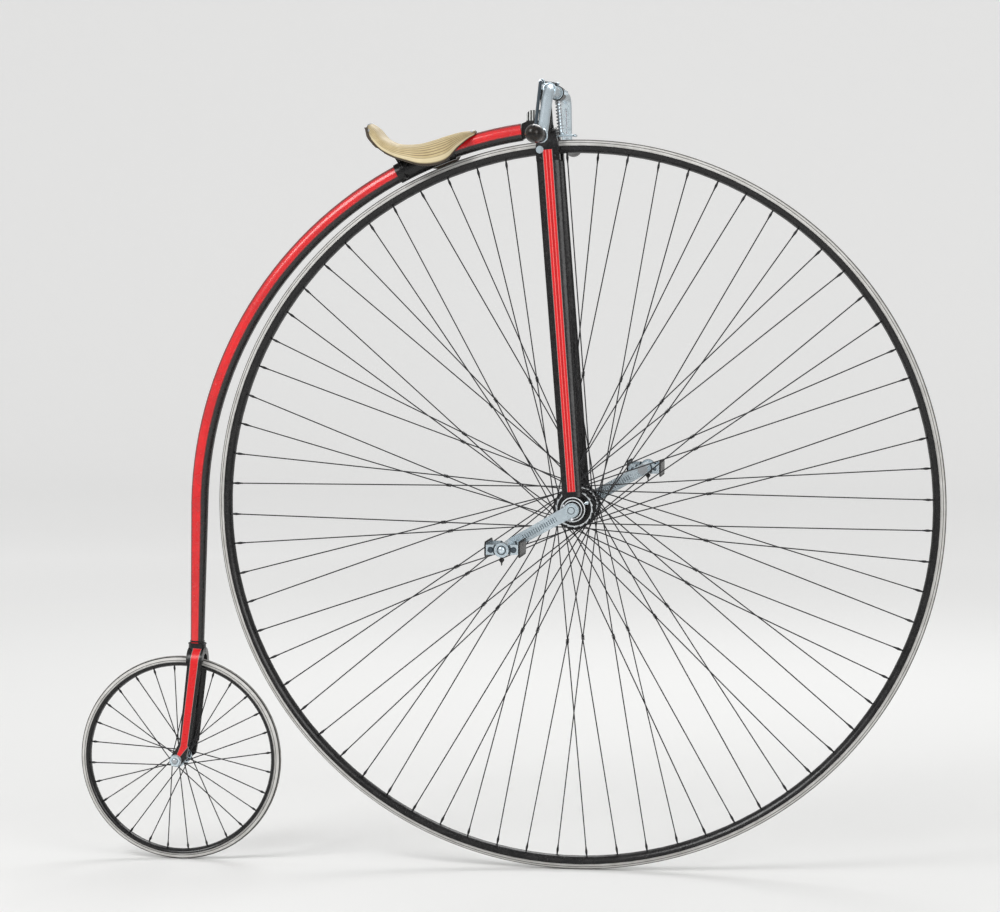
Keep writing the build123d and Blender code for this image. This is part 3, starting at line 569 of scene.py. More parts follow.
materials = {
    "black_enamel": black_enamel(),
    "red_enamel": backbone_enamel(),
    "fork_blade": striped_enamel(
        "striped_enamel_fork", [fork_strip], low=22 * MM, high=648 * MM, y_low=67.2 * MM,
        y_high=31.5 * MM, over=800 * MM, painted_light=True),
    "rear_blade": striped_enamel(
        "striped_enamel_rear", rear_strips, low=0, high=157.6 * MM, y_low=39 * MM,
        y_high=23.5 * MM, over=172 * MM, painted_light=False),
    "bearing": ringed_enamel("ringed_enamel_bearing", front_hub, [(15.9, 17.6), (21.2, 23.1)]),
    "hub": ringed_enamel("ringed_enamel_hub", front_hub, [(31.8, 35.6)]),
    "neck": ribbed_enamel(),
    "nickel": plated("nickel", NICKEL, 0.16, 0.3, metallic=0.8),
    "crank": notched_nickel(front_hub, crank_out, crank_across),
    "axle": capped_nickel("nickel_axle", front_hub, AXLE_RINGS),
    "rear_axle": capped_nickel("nickel_rear_axle", rear_hub, REAR_AXLE_RINGS),
    "pedal_right": capped_nickel("nickel_pedal_right", pedal_axes["right"], PEDAL_RINGS),
    "pedal_left": capped_nickel("nickel_pedal_left", pedal_axes["left"], PEDAL_RINGS),
    # Painted shade: a darker copy of the nickel, for the brake lever, the grip ferrules and the pedal nuts
    "shaded_nickel": plated("shaded_nickel", rgb(84, 94, 102), 0.2, 0.32, metallic=0.8),
    "steel": plated("turned_steel", rgb(188, 192, 196), 0.24, 0.38, metallic=0.85, brush=(1, 12, 1)),
    "spoke_steel": plated("spoke_steel", rgb(44, 44, 46), 0.3, 0.42, metallic=0.6),
    "front_tyre": tyre_rubber("front_tyre_rubber", front_hub, half_size("front_tyre").z, line=6.0, edge=2.2),
    "rear_tyre": tyre_rubber("rear_tyre_rubber", rear_hub, half_size("rear_tyre").z, line=8.0, edge=2.8),
    "horn": horn(),
    "leather": saddle_hide(),
}

finish_of = {
    "red_enamel": ["backbone_tube"],
    "fork_blade": ["fork_blade_right", "fork_blade_left", "fork_crown"],
    "rear_blade": ["rear_blade_right", "rear_blade_left", "rear_crown"],
    "black_enamel": ["front_rim", "rear_rim", "saddle_clip", "saddle_spring", "handlebar_lug",
                     "pedal_treads_right", "pedal_treads_left"],
    "bearing": ["bearing_right", "bearing_left"],
    "hub": ["front_hub"],
    "neck": ["neck"],
    "nickel": ["handlebar_right", "handlebar_left", "rear_hub", "head_bolt", "brake_plunger", "brake_spoon"],
    # The brake lever takes the nickel darkened as painted shade
    "shaded_nickel": ["brake_lever"],
    "pedal_right": ["pedal_frame_right"],
    "pedal_left": ["pedal_frame_left"],
    "crank": ["crank_right", "crank_left"],
    "axle": ["front_axle"],
    "rear_axle": ["rear_axle"],
    "steel": ["pedal_pin_right", "pedal_pin_left"],
    "spoke_steel": ["front_spokes", "rear_spokes"],
    "front_tyre": ["front_tyre"],
    "rear_tyre": ["rear_tyre"],
    "horn": ["grip_right", "grip_left"],
    "leather": ["saddle_leather"],
}
for key, nodes in finish_of.items():
    for node in nodes:
        for slot in frame["nodes"][node].material_slots:
            slot.material = materials[key]


# Mesh pieces
class Shape:
    """Points and faces gathered from plain forms, then made into one piece that rides on a body."""

    def __init__(self, name, finish, body, slot):
        self.name, self.finish, self.body, self.slot = name, finish, body, slot
        self.points, self.faces = [], []

    def add(self, points, faces, place=None):
        base = len(self.points)
        for point in points:
            self.points.append(place @ Vector(point) if place else Vector(point))
        self.faces += [tuple(base + i for i in face) for face in faces]

    def rings(self, loops, place=None, closed=False):
        """Skin over loops of equally many points; closed joins the last loop to the first."""
        count = len(loops[0])
        points = [point for loop in loops for point in loop]
        faces = []
        steps = len(loops) if closed else len(loops) - 1
        for row in range(steps):
            following = (row + 1) % len(loops)
            for i in range(count):
                j = (i + 1) % count
                faces.append((row * count + i, row * count + j, following * count + j, following * count + i))
        if not closed:
            faces.append(tuple(reversed(range(count))))
            faces.append(tuple((len(loops) - 1) * count + i for i in range(count)))
        self.add(points, faces, place)

    def lathe(self, outline, place, facets=32, closed=False):
        """Outline of (radius, height) turned about the placement's Z."""
        turns = [math.tau * i / facets for i in range(facets)]
        loops = [[(radius * math.cos(a), radius * math.sin(a), height) for a in turns]
                 for radius, height in outline]
        self.rings(loops, place, closed)

    def tube(self, path, radius, facets=12, closed=False):
        """Round bar along points."""
        path = [Vector(point) for point in path]
        loops = []
        across = None
        for i, point in enumerate(path):
            before = path[i - 1] if i or closed else point
            after = path[(i + 1) % len(path)] if i + 1 < len(path) or closed else point
            run = (after - before).normalized()
            if across is None:
                across = run.orthogonal()
            across = (across - run * across.dot(run)).normalized()
            other = run.cross(across)
            turns = [math.tau * k / facets for k in range(facets)]
            loops.append([
                point + across * radius * math.cos(a) + other * radius * math.sin(a) for a in turns])
        self.rings(loops, None, closed)

    def make(self, replaces=(), sharp=35):
        mesh = bpy.data.meshes.new(self.name)
        mesh.from_pydata(self.points, [], self.faces)
        made = bmesh.new()
        made.from_mesh(mesh)
        bmesh.ops.remove_doubles(made, verts=made.verts, dist=1e-6)
        bmesh.ops.recalc_face_normals(made, faces=made.faces)
        made.to_mesh(mesh)
        made.free()
        mesh.materials.append(materials[self.finish])
        for polygon in mesh.polygons:
            polygon.use_smooth = True
        mesh.set_sharp_from_angle(angle=math.radians(sharp))
        piece = bpy.data.objects.new(self.name, mesh)
        bpy.context.scene.collection.objects.link(piece)
        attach(piece, self.body)
        if replaces:
            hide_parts(*replaces)


def coil(start, rise, first, second, turns, steps):
    """Points of a winding that climbs by a vector; the other two are its half axes."""
    path = []
    for k in range(turns * steps + 1):
        angle = math.tau * k / steps
        climb = rise * (k / (turns * steps))
        path.append(start + climb + first * math.cos(angle) + second * math.sin(angle))
    return path


# Tyres with their moulded lines
TYRE_STEPS = 72
GROOVE_DEPTH = 0.55 * MM
GROOVE_HALF_ANGLE = 2.6


def tyre(name, node, body, hub, dia, groove, facets):
    """Round tyre whose groove lies at an angle in degrees from the tread, on both flanks."""
    middle = half_size(node).z - dia / 2
    outline = []
    for i in range(TYRE_STEPS):
        degrees = 360.0 * i / TYRE_STEPS
        from_tread = min(degrees, 360.0 - degrees)
        grooved = abs(from_tread - groove) < GROOVE_HALF_ANGLE
        reach = dia / 2 - (GROOVE_DEPTH if grooved else 0.0)
        angle = math.radians(degrees)
        outline.append((middle + reach * math.cos(angle), reach * math.sin(angle)))
    shape = Shape(name, node, body, "tyre")
    shape.lathe(outline, facing(hub, left), facets, closed=True)
    shape.make(replaces=[node], sharp=40)


tyre("front_tyre_moulded", "front_tyre", "front_wheel", front_hub, dia=22 * MM, groove=63, facets=320)
tyre("rear_tyre_moulded", "rear_tyre", "rear_wheel", rear_hub, dia=18 * MM, groove=84, facets=192)


# Spokes with their spindle-shaped nipples, laced as the solids are
def spoke_ends(hub, count, phase, hub_radius, hub_y, hub_step, rim_radius, rim_y, rim_step):
    """Hub end, rim end, side and turn of each spoke."""
    lean = math.acos(hub_radius / rim_radius)
    out = []
    for index in range(count):
        side = 1 if index % 2 else -1
        turn = 1 if (index // 2) % 2 else -1
        rim_angle = math.radians(phase) + math.tau * index / count
        hub_angle = rim_angle + turn * lean
        inner = hub + Vector((hub_radius * math.cos(hub_angle), side * (hub_y + turn * hub_step),
                              hub_radius * math.sin(hub_angle)))
        outer = hub + Vector((rim_radius * math.cos(rim_angle), side * (rim_y + turn * rim_step),
                              rim_radius * math.sin(rim_angle)))
        out.append((inner, outer, side, turn))
    return out


FRONT_WIRE, REAR_WIRE = 1.15 * MM, 1.05 * MM
front_laces = spoke_ends(
    front_hub, count=72, phase=11.7, hub_radius=35 * MM, hub_y=48.5 * MM, hub_step=3.5 * MM,
    rim_radius=662.0 * MM, rim_y=5.2 * MM, rim_step=1.8 * MM)
rear_laces = spoke_ends(
    rear_hub, count=28, phase=4.2, hub_radius=11 * MM, hub_y=25.5 * MM, hub_step=3.0 * MM,
    rim_radius=177.7 * MM, rim_y=3.0 * MM, rim_step=1.6 * MM)
# A nipple's outline, as shares of its radius and of its length back from the rim
NIPPLE_FORM = [(0.62, 0.80), (1.0, 0.52), (0.92, 0.38), (0.6, 0.12), (0.6, 0.0)]


def wire_spokes(name, node, body, laces, wire, nipple, nipple_length):
    """Spokes with a button at the hub and a spindle-shaped nipple at the rim."""
    shape = Shape(name, "spoke_steel", body, "spoke_steel")
    button = [(0.6 * wire, 0), (1.35 * wire, 0.4 * wire), (1.35 * wire, 1.6 * wire), (wire, 2.4 * wire)]
    for inner, outer, *_ in laces:
        length = (outer - inner).length
        shoulder = length - nipple_length
        spindle = [(wire, shoulder), (1.15 * wire, shoulder + 0.2 * MM)]
        spindle += [(share * nipple, length - back * nipple_length) for share, back in NIPPLE_FORM]
        shape.lathe(button + spindle, facing(inner, outer - inner), 8)
    shape.make(replaces=[node], sharp=60)


wire_spokes("front_spokes_drawn", "front_spokes", "front_wheel", front_laces, FRONT_WIRE,
            nipple=2.5 * MM, nipple_length=20 * MM)
wire_spokes("rear_spokes_drawn", "rear_spokes", "rear_wheel", rear_laces, REAR_WIRE,
            nipple=2.3 * MM, nipple_length=13 * MM)

TIE_LENGTH, TIE_WIRE = 9 * MM, 0.55 * MM


def wire_ties(name, body, laces, wire):
    """Binding wire round each crossing of two spokes on the same side."""
    shape = Shape(name, "spoke_steel", body, "spoke_steel")
    for side in (-1, 1):
        own = [lace for lace in laces if lace[2] == side]
        for i, (a, a_end, _, a_turn) in enumerate(own):
            b, b_end, _, b_turn = own[(i + 1) % len(own)]
            if not a_turn > 0 > b_turn:
                continue
            da, db = a_end - a, b_end - b
            skew = da.x * db.z - da.z * db.x
            near = a + da * (((b.x - a.x) * db.z - (b.z - a.z) * db.x) / skew)
            far = b + db * (((b.x - a.x) * da.z - (b.z - a.z) * da.x) / skew)
            run = (da.normalized() + db.normalized()).normalized()
            out = far - near
            deep = out.length / 2 + wire * 1.9
            out.normalize()
            start = (near + far) / 2 - run * (TIE_LENGTH / 2)
            path = coil(start, run * TIE_LENGTH, out * deep, run.cross(out) * wire * 2.4, turns=5, steps=14)
            shape.tube(path, TIE_WIRE, 6)
    shape.make(sharp=60)


wire_ties("spoke_ties", "front_wheel", front_laces, FRONT_WIRE)


# Small fittings. Each is placed by a point on its seat and the way it points, and starts a
# little inside the seat.
def hexagon(shape, seat, axis, across, height, washer=0.0):
    """Chamfered hexagon head, on a washer if one is given."""
    corner = across / math.sqrt(3)
    place = facing(seat, axis)
    base = -0.3 * MM
    if washer:
        shape.lathe([(washer, base), (washer, 0.9 * MM), (washer - 0.4 * MM, 1.2 * MM)], place, 24)
        base = 1.2 * MM
    shape.lathe([(corner, base), (corner, height * 0.82), (corner * 0.86, height)], place, 6)


def dome(shape, seat, axis, radius, height):
    """Rivet head or button."""
    steps = 6
    outline = [(radius, -0.4 * MM)]
    for k in range(steps):
        angle = math.pi / 2 * k / steps
        outline.append((radius * math.cos(angle), height * math.sin(angle)))
    outline.append((0.06 * radius, height))
    shape.lathe(outline, facing(seat, axis), 20)


def oiler(shape, seat, axis, size=1.0):
    """Small oil cup: a neck, a knurled collar and a domed lid."""
    outline = [(2.2, -1.0), (2.2, 2.0), (3.5, 2.5), (3.7, 3.2), (3.7, 5.2), (3.4, 5.8), (2.6, 6.2),
               (2.4, 7.0), (1.6, 7.8), (0.2, 8.1)]
    shape.lathe([(r * size * MM, h * size * MM) for r, h in outline], facing(seat, axis), 20)


def collar(shape, centre, axis, radius, width):
    """Rounded band round a bar."""
    soft = min(width * 0.3, 0.8 * MM)
    shape.lathe([(radius - 2 * MM, -width / 2), (radius - soft, -width / 2), (radius, -width / 2 + soft),
                 (radius, width / 2 - soft), (radius - soft, width / 2), (radius - 2 * MM, width / 2)],
                facing(centre, axis), 32, closed=True)


RING_STEPS = 28


def wire_ring(shape, centre, axis, radius, wire):
    """Wire ring round an axis."""
    place = facing(centre, axis)
    turns = [math.tau * k / RING_STEPS for k in range(RING_STEPS)]
    path = [place @ Vector((radius * math.cos(a), radius * math.sin(a), 0)) for a in turns]
    shape.tube(path, wire, 8, closed=True)


SIDES = {"right": -1, "left": 1}

# Fork and crown: the bar's line, its low straight by the grips, the lug round it, the outer
# face of the crown's cheeks and the grips' inner ends
BAR_AHEAD, BAR_UP = 23 * MM, 772 * MM
LOW_AHEAD, LOW_UP = 11 * MM, 684 * MM
LUG_RADIUS, LUG_END = 14 * MM, 20 * MM
CHEEK_Y = 40 * MM
GRIP_Y = 231.5 * MM

bolts = Shape("crown_bolts", "nickel", "fork", "nickel")
studs = Shape("crown_rivets", "black_enamel", "fork", "black_enamel")
# The ferrules take the nickel darkened as painted shade
ferrules = Shape("grip_ferrules", "shaded_nickel", "fork", "nickel")
for side in SIDES.values():
    face = left * side
    hexagon(bolts, on_fork(-14 * MM, side * CHEEK_Y, 669 * MM), face, 10 * MM, 5 * MM, washer=7 * MM)
    hexagon(bolts, on_fork(BAR_AHEAD + LUG_RADIUS, side * 12 * MM, BAR_UP), steer_ahead, 8 * MM, 4 * MM)
    collar(bolts, on_fork(BAR_AHEAD, side * (LUG_END + 1.6 * MM), BAR_UP), left, 12.4 * MM, 4 * MM)
    dome(studs, on_fork(13 * MM, side * CHEEK_Y, 656 * MM), face, 3 * MM, 1.8 * MM)
    dome(studs, on_fork(-13 * MM, side * CHEEK_Y, 653 * MM), face, 3 * MM, 1.8 * MM)
    collar(ferrules, on_fork(LOW_AHEAD, side * (GRIP_Y + 5 * MM), LOW_UP), left, 13.2 * MM, 6 * MM)
    collar(ferrules, on_fork(LOW_AHEAD, side * GRIP_Y, LOW_UP), left, 11.6 * MM, 4 * MM)
for shape in (bolts, studs, ferrules):
    shape.make()

# Brake: guides that tie the lever to the bar, the joint with the plunger, its spring and the spoon
GUIDE_Y, LOW_GUIDE_Y, LEVER_END_Y = -126 * MM, -213 * MM, -227 * MM
LEVER_AHEAD, LEVER_UP = -3 * MM, 790 * MM
GUIDE_RADIUS = 11.2 * MM

brake = Shape("brake_guides", "nickel", "fork", "nickel")
wire_ring(brake, on_fork(BAR_AHEAD, GUIDE_Y, BAR_UP), left, GUIDE_RADIUS, 1.5 * MM)
wire_ring(brake, on_fork(9.8 * MM, GUIDE_Y, 786.4 * MM), left, 4.6 * MM, 1.4 * MM)
brake.tube([on_fork(15.6 * MM, GUIDE_Y, 780 * MM), on_fork(12.6 * MM, GUIDE_Y, 783.2 * MM)], 1.9 * MM, 10)
wire_ring(brake, on_fork(LOW_AHEAD, LOW_GUIDE_Y, LOW_UP), left, GUIDE_RADIUS, 1.5 * MM)
wire_ring(brake, on_fork(LEVER_AHEAD, LOW_GUIDE_Y, LOW_UP), left, 4.4 * MM, 1.4 * MM)
lever_end = on_fork(LEVER_AHEAD, LEVER_END_Y, LOW_UP)
dome(brake, lever_end, -left, 4.4 * MM, 4 * MM)
dome(brake, lever_end, left, 4.4 * MM, 3 * MM)
knuckle = on_fork(BAR_AHEAD, 0, LEVER_UP)
dome(brake, knuckle, steer_up, 5 * MM, 2.6 * MM)
dome(brake, knuckle, -steer_up, 5 * MM, 3.4 * MM)
for side in SIDES.values():
    dome(brake, on_fork(BAR_AHEAD, side * 3.6 * MM, LEVER_UP), left * side, 3 * MM, 2.4 * MM)
brake.make()

SPRING_LOW, SPRING_HIGH = 701 * MM, 756 * MM
rod_half = half_size("brake_plunger").y
spring_reach = rod_half + 1.7 * MM
seat_radius = rod_half + 3.2 * MM
spring = Shape("brake_spring", "steel", "fork", "nickel")
spring.tube(coil(on_fork(BAR_AHEAD, 0, SPRING_LOW), steer_up * (SPRING_HIGH - SPRING_LOW),
                 steer_ahead * spring_reach, left * spring_reach, turns=9, steps=18), 1.1 * MM, 8)
collar(spring, on_fork(BAR_AHEAD, 0, SPRING_LOW - 1.5 * MM), steer_up, seat_radius, 2.4 * MM)
collar(spring, on_fork(BAR_AHEAD, 0, SPRING_HIGH + 0.6 * MM), steer_up, seat_radius, 2 * MM)
spring.make()

SPOON_RADIUS = 694.5 * MM


def on_spoon(ahead, y, lift=0.0):
    """Point over the spoon's back, which curves about the front hub."""
    return on_fork(ahead, y, math.sqrt(SPOON_RADIUS ** 2 - ahead ** 2) + lift)


# Its barrels, in millimetres: place ahead, lift, radius and half length
spoon = Shape("spoon_fittings", "nickel", "fork", "nickel")
for ahead, lift, radius, half in ((27, 2.4, 3.4, 9), (50, -1.2, 2.7, 11)):
    tips = {side: on_spoon(ahead * MM, side * half * MM, lift * MM) for side in SIDES.values()}
    spoon.tube(tips.values(), radius * MM, 20)
    for side, end in tips.items():
        dome(spoon, end, left * side, radius * 0.6 * MM, 1.4 * MM)
for ahead in (35 * MM, 43 * MM):
    for side in SIDES.values():
        dome(spoon, on_spoon(ahead, side * 6.5 * MM), on_spoon(ahead, 0) - front_hub, 2 * MM, 1.3 * MM)
spoon.make()

# Oil cups and plugs on the bearings, and the cotters that hold the cranks
BEARING_Y, BEARING_REACH = 67 * MM, 24 * MM
cup_way = (steer_ahead * 0.93 + steer_up * 0.36).normalized()
plug_way = (steer_ahead * -0.8 - steer_up * 0.6).normalized()
cups = Shape("bearing_oilers", "nickel", "fork", "nickel")
for side in SIDES.values():
    bearing = front_hub + left * side * BEARING_Y
    oiler(cups, bearing + cup_way * BEARING_REACH, cup_way)
    hexagon(cups, bearing + plug_way * BEARING_REACH, plug_way, 9 * MM, 4 * MM)
cups.make()

CRANK_Y, COTTER_OUT, COTTER_RADIUS = 91 * MM, 9.5 * MM, 3.2 * MM
cotters = Shape("crank_cotters", "steel", "front_wheel", "steel")
for side in SIDES.values():
    centre = front_hub + left * side * CRANK_Y + crank_out * side * COTTER_OUT
    head = centre - crank_across * 16 * MM
    cotters.tube([head, centre + crank_across * 15 * MM], COTTER_RADIUS, 16)
    dome(cotters, head, -crank_across, COTTER_RADIUS, 1.4 * MM)
    hexagon(cotters, centre + crank_across * 12.5 * MM, crank_across, 8.5 * MM, 5.4 * MM, washer=5.4 * MM)
cotters.make(sharp=40)

# Pedals, from the inner end of the pin: outer end, the plates' nuts and the oil cup that hangs below
PEDAL_END, NUT_SEAT, PLATE_NUT, CUP_OUT = 100 * MM, 92 * MM, 21 * MM, 96 * MM


def dress_pedal(word, side):
    """Oil cap, dust ring, nuts and oil cup of one pedal."""
    body = f"pedal_{word}"
    face = left * side

    def on_pedal(out, along=0.0, height=0.0):
        return pedal_axes[word] + Vector((along, side * out, height))

    fittings = Shape(f"pedal_fittings_{word}", "nickel", body, "nickel")
    dome(fittings, on_pedal(PEDAL_END), face, 6 * MM, 2.6 * MM)
    collar(fittings, on_pedal(PEDAL_END), face, 13.2 * MM, 3 * MM)
    fittings.make()
    # The nuts take the nickel darkened as painted shade
    nuts = Shape(f"pedal_nuts_{word}", "shaded_nickel", body, "nickel")
    for along in (-PLATE_NUT, PLATE_NUT):
        hexagon(nuts, on_pedal(NUT_SEAT, along), face, 8.5 * MM, 4 * MM, washer=5.6 * MM)
        dome(nuts, on_pedal(0, along), -face, 3.4 * MM, 2.2 * MM)
    nuts.make()
    drip = Shape(f"pedal_oiler_{word}", "black_enamel", body, "black_enamel")
    oiler(drip, on_pedal(CUP_OUT, 0, -12.6 * MM), -up, 1.3)
    drip.lathe([(1.6 * MM, 0), (1.3 * MM, 4 * MM), (0.4 * MM, 6 * MM)],
               facing(on_pedal(CUP_OUT, 0, -22.5 * MM), -up), 12)
    drip.make()


for word, side in SIDES.items():
    dress_pedal(word, side)

# Rear wheel: washers, axle ends and an oil cup on the hub
WASHER_Y, AXLE_END_Y, REAR_HUB_RADIUS = 43.7 * MM, 52 * MM, 8.4 * MM
ends = Shape("rear_axle_washers", "steel", "backbone", "steel")
for side in SIDES.values():
    face = left * side
    collar(ends, rear_hub + face * WASHER_Y, face, 11.4 * MM, 1.4 * MM)
    dome(ends, rear_hub + face * AXLE_END_Y, face, 4.6 * MM, 1.8 * MM)
ends.make()
cup_lean = Vector((0.5, 0, 0.86))
hub_cup = Shape("rear_hub_oiler", "nickel", "rear_wheel", "nickel")
oiler(hub_cup, rear_hub + cup_lean * REAR_HUB_RADIUS, cup_lean, 0.9)
hub_cup.make()

# Beads round the rear socket's mouth
socket_up = Vector((foot_slope, 0, 1)).normalized()
socket_foot = Vector((front_hub.x - 731.04 * MM, 0, ground + 409 * MM))
beads = Shape("socket_beads", "black_enamel", "backbone", "black_enamel")
collar(beads, socket_foot + socket_up * 7.4 * MM, socket_up, 17.6 * MM, 3 * MM)
collar(beads, socket_foot + socket_up * 12 * MM, socket_up, 14.2 * MM, 3 * MM)
beads.make()


# Saddle leather
def catmull(values, t):
    """Smooth value at t, from 0 to 1, through evenly spread values."""
    place = t * (len(values) - 1)
    i = min(int(place), len(values) - 2)
    f = place - i
    a = values[max(i - 1, 0)]
    b, c = values[i], values[i + 1]
    d = values[min(i + 2, len(values) - 1)]
    steep = 3 * b - a - 3 * c + d
    return 0.5 * (2 * b + (c - a) * f + (2 * a - 5 * b + 4 * c - d) * f * f + steep * f ** 3)


# Back to nose, millimetres from the seat point: x and height of the ridge line, half width, x and
# height of the flap's lower edge, and how far the section bulges beyond a straight slope
saddle_ribs = [
    (-80, 34, 20, -76, 31, 0.30),
    (-72, 40.5, 44, -69, 14, 0.40),
    (-58, 32, 55, -57, -1.4, 0.50),
    (-42, 13.5, 62.5, -42, -14, 0.58),
    (-22, 3.5, 67, -20, -25.5, 0.60),
    (0, 0.2, 71, 4, -33.5, 0.62),
    (26, 1.8, 72, 30, -41, 0.62),
    (50, 8, 69, 56, -41, 0.60),
    (74, 16, 60, 80, -32, 0.58),
    (96, 22.5, 42, 97, -9, 0.55),
    (114, 25.5, 25, 114, 9, 0.45),
    (126, 26.5, 13, 127, 18.5, 0.35),
]


def saddle_point(t, s):
    """Point of the top face: t from back to nose, s from -1 (right) to 1 (left)."""
    ridge_x, ridge_z, half, edge_x, edge_z, bulge = (catmull(column, t) for column in zip(*saddle_ribs))
    drop = abs(s) ** (2.0 + 1.6 * bulge)
    wide = math.sin(abs(s) * math.pi / 2) ** (1.0 - 0.25 * bulge)
    x = ridge_x + (edge_x - ridge_x) * drop
    z = ridge_z + (edge_z - ridge_z) * drop
    return Vector((x, math.copysign(half * wide, s), z)) * MM


def saddle_normal(t, s, step):
    """Upward normal of the top face, from neighbours one step away."""
    run = saddle_point(min(t + step, 1), s) - saddle_point(max(t - step, 0), s)
    across = saddle_point(t, min(s + step, 1)) - saddle_point(t, max(s - step, -1))
    normal = run.cross(across).normalized()
    return normal if normal.z > 0 else -normal


LENGTHWISE, CROSSWISE = 72, 48
HIDE_THICK = 4.6 * MM


def saddle():
    """Hide with a top, a flesh side and a cut edge; its texture coordinates run back to nose."""
    mesh = bpy.data.meshes.new("saddle_hide")
    made = bmesh.new()
    layer = made.loops.layers.uv.new("hide")
    top, bottom = [], []
    for i in range(LENGTHWISE + 1):
        t = i / LENGTHWISE
        for j in range(CROSSWISE + 1):
            s = 2 * j / CROSSWISE - 1
            here = saddle_point(t, s)
            top.append(made.verts.new(here))
            bottom.append(made.verts.new(here - saddle_normal(t, s, 0.004) * HIDE_THICK))
    width = CROSSWISE + 1

    def place_on_hide(corner):
        return (corner // width) / LENGTHWISE, (corner % width) / CROSSWISE

    def quad(a, b, c, d, uvs):
        face = made.faces.new((a, b, c, d))
        face.smooth = True
        for loop, uv in zip(face.loops, uvs):
            loop[layer].uv = uv

    for i in range(LENGTHWISE):
        for j in range(CROSSWISE):
            k = i * width + j
            corners = (k, k + 1, k + width + 1, k + width)
            uvs = [place_on_hide(corner) for corner in corners]
            quad(*(top[c] for c in corners), uvs)
            quad(*(bottom[c] for c in reversed(corners)), [(u, v + UNDERSIDE) for u, v in reversed(uvs)])
    border = list(range(width))
    border += [i * width + CROSSWISE for i in range(1, LENGTHWISE + 1)]
    border += [LENGTHWISE * width + j for j in range(CROSSWISE - 1, -1, -1)]
    border += [i * width for i in range(LENGTHWISE - 1, 0, -1)]
    for k, corner in enumerate(border):
        following = border[(k + 1) % len(border)]
        uvs = [place_on_hide(corner), place_on_hide(following)]
        quad(top[corner], top[following], bottom[following], bottom[corner], uvs + uvs[::-1])
    bmesh.ops.recalc_face_normals(made, faces=made.faces)
    made.to_mesh(mesh)
    made.free()
    mesh.materials.append(materials["leather"])
    piece = bpy.data.objects.new("saddle_hide", mesh)
    bpy.context.scene.collection.objects.link(piece)
    rounding = piece.modifiers.new("bevel", "BEVEL")
    rounding.width = 1.2 * MM
    rounding.segments = 3
    rounding.limit_method = "ANGLE"
    rounding.angle_limit = math.radians(50)
    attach(piece, "backbone")
    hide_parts("saddle_leather")


saddle()

# Saddle rivets at the back and the nose, and the clip's bolts on its sides
rivets = Shape("saddle_rivets", "steel", "backbone", "steel")
for t, spots in ((0.09, (-0.8, -0.42, 0, 0.42, 0.8)), (0.945, (-0.5, 0, 0.5))):
    for s in spots:
        dome(rivets, saddle_point(t, s), saddle_normal(t, s, 0.01), 3.2 * MM, 1.2 * MM)
rivets.make()

CLIP_RADIUS, HOOP_STEPS = 19.05 * MM, 18
CLIP_BOLT_Y, CLIP_BOLT_IN = 15.6 * MM, 10 * MM
clamps = Shape("clip_bolts", "black_enamel", "backbone", "black_enamel")
for ahead in (-10 * MM, 70 * MM):
    height = arc_centre.z + math.sqrt(arc_radius ** 2 - (ahead - arc_centre.x) ** 2)
    centre = Vector((ahead, 0, height))
    outward = (centre - arc_centre).normalized()
    along_tube = left.cross(outward)
    for side in SIDES.values():
        low = centre - outward * CLIP_BOLT_IN + left * side * CLIP_BOLT_Y
        clamps.tube([low - outward * 5 * MM, low + outward * 20 * MM], 2.6 * MM, 12)
        hexagon(clamps, low - outward * 3 * MM, -outward, 8 * MM, 4 * MM)
    hoop = []
    for k in range(HOOP_STEPS + 1):
        angle = math.pi * k / HOOP_STEPS
        hoop.append(centre + left * CLIP_RADIUS * math.cos(angle) + outward * CLIP_RADIUS * math.sin(angle))
    for step in (-2.2 * MM, 2.2 * MM):
        clamps.tube([point + along_tube * step for point in hoop], 1.3 * MM, 8)
clamps.make()

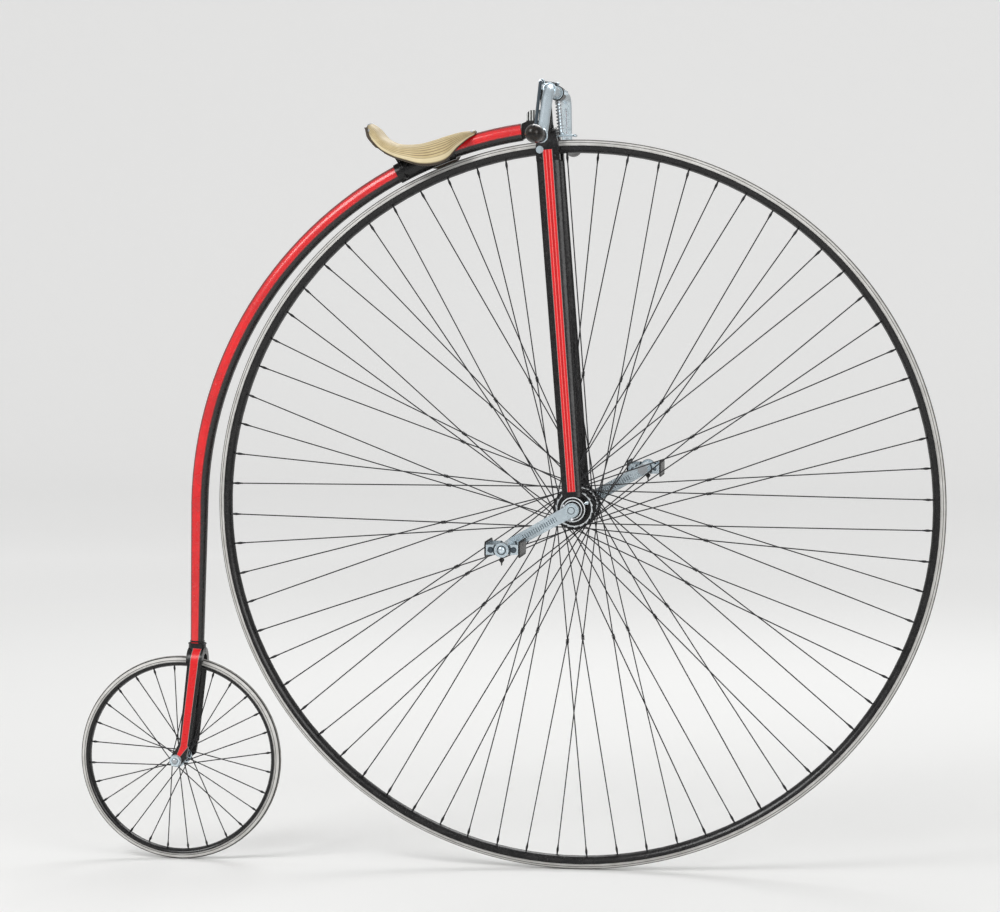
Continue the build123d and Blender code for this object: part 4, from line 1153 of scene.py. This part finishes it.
# Floor, in metres: flat, then swept up into a wall far behind, beyond where any view stands
FLOOR_HALF, SWEEP_START, SWEEP_RADIUS, WALL_TOP = 30.0, 10.0, 4.0, 20.0
profile = [(-FLOOR_HALF, 0.0), (SWEEP_START, 0.0)]
for degrees in range(6, 91, 6):
    angle = math.radians(degrees)
    profile.append((SWEEP_START + SWEEP_RADIUS * math.sin(angle), SWEEP_RADIUS * (1 - math.cos(angle))))
profile.append((SWEEP_START + SWEEP_RADIUS, WALL_TOP))
points = [(x, y, ground + z) for y, z in profile for x in (-FLOOR_HALF, FLOOR_HALF)]
faces = [(2 * i, 2 * i + 1, 2 * i + 3, 2 * i + 2) for i in range(len(profile) - 1)]
floor = bpy.data.objects.new("floor", bpy.data.meshes.new("floor"))
floor.data.from_pydata(points, [], faces)
for polygon in floor.data.polygons:
    polygon.use_smooth = True
floor.data.materials.append(paper_floor())
bpy.context.scene.collection.objects.link(floor)

# Lamps as name, place, size in metres and watts, all aimed under the seat near hub height
LAMP_AIM = Vector((0, 0, -0.6))
lamps = [
    ("key", (-2.6, -3.2, 2.6), 2.4, 150),
    ("fill", (3.4, -3.6, 1.0), 2.6, 80),
    ("rim", (0.6, 3.0, 2.4), 2.2, 70),
]
for name, place, size, power in lamps:
    data = bpy.data.lights.new(name, "AREA")
    data.size = size
    data.energy = power
    lamp = bpy.data.objects.new(name, data)
    lamp.location = place
    lamp.rotation_euler = (LAMP_AIM - Vector(place)).to_track_quat("-Z", "Y").to_euler()
    bpy.context.scene.collection.objects.link(lamp)

# World: how strongly it lights the scene, and how bright the camera sees it
SKY_LIGHT, SKY_SEEN = 0.55, 0.77
world = bpy.data.worlds.new("studio")
world.use_nodes = True
sky = world.node_tree.nodes["Background"]
sky.inputs["Color"].default_value = (1, 1, 1, 1)
seen = world.node_tree.nodes.new("ShaderNodeLightPath").outputs["Is Camera Ray"]
level = world.node_tree.nodes.new("ShaderNodeMapRange")
level.inputs["To Min"].default_value = SKY_LIGHT
level.inputs["To Max"].default_value = SKY_SEEN
world.node_tree.links.new(seen, level.inputs["Value"])
world.node_tree.links.new(level.outputs["Result"], sky.inputs["Strength"])
bpy.context.scene.world = world

bpy.context.view_layer.update()
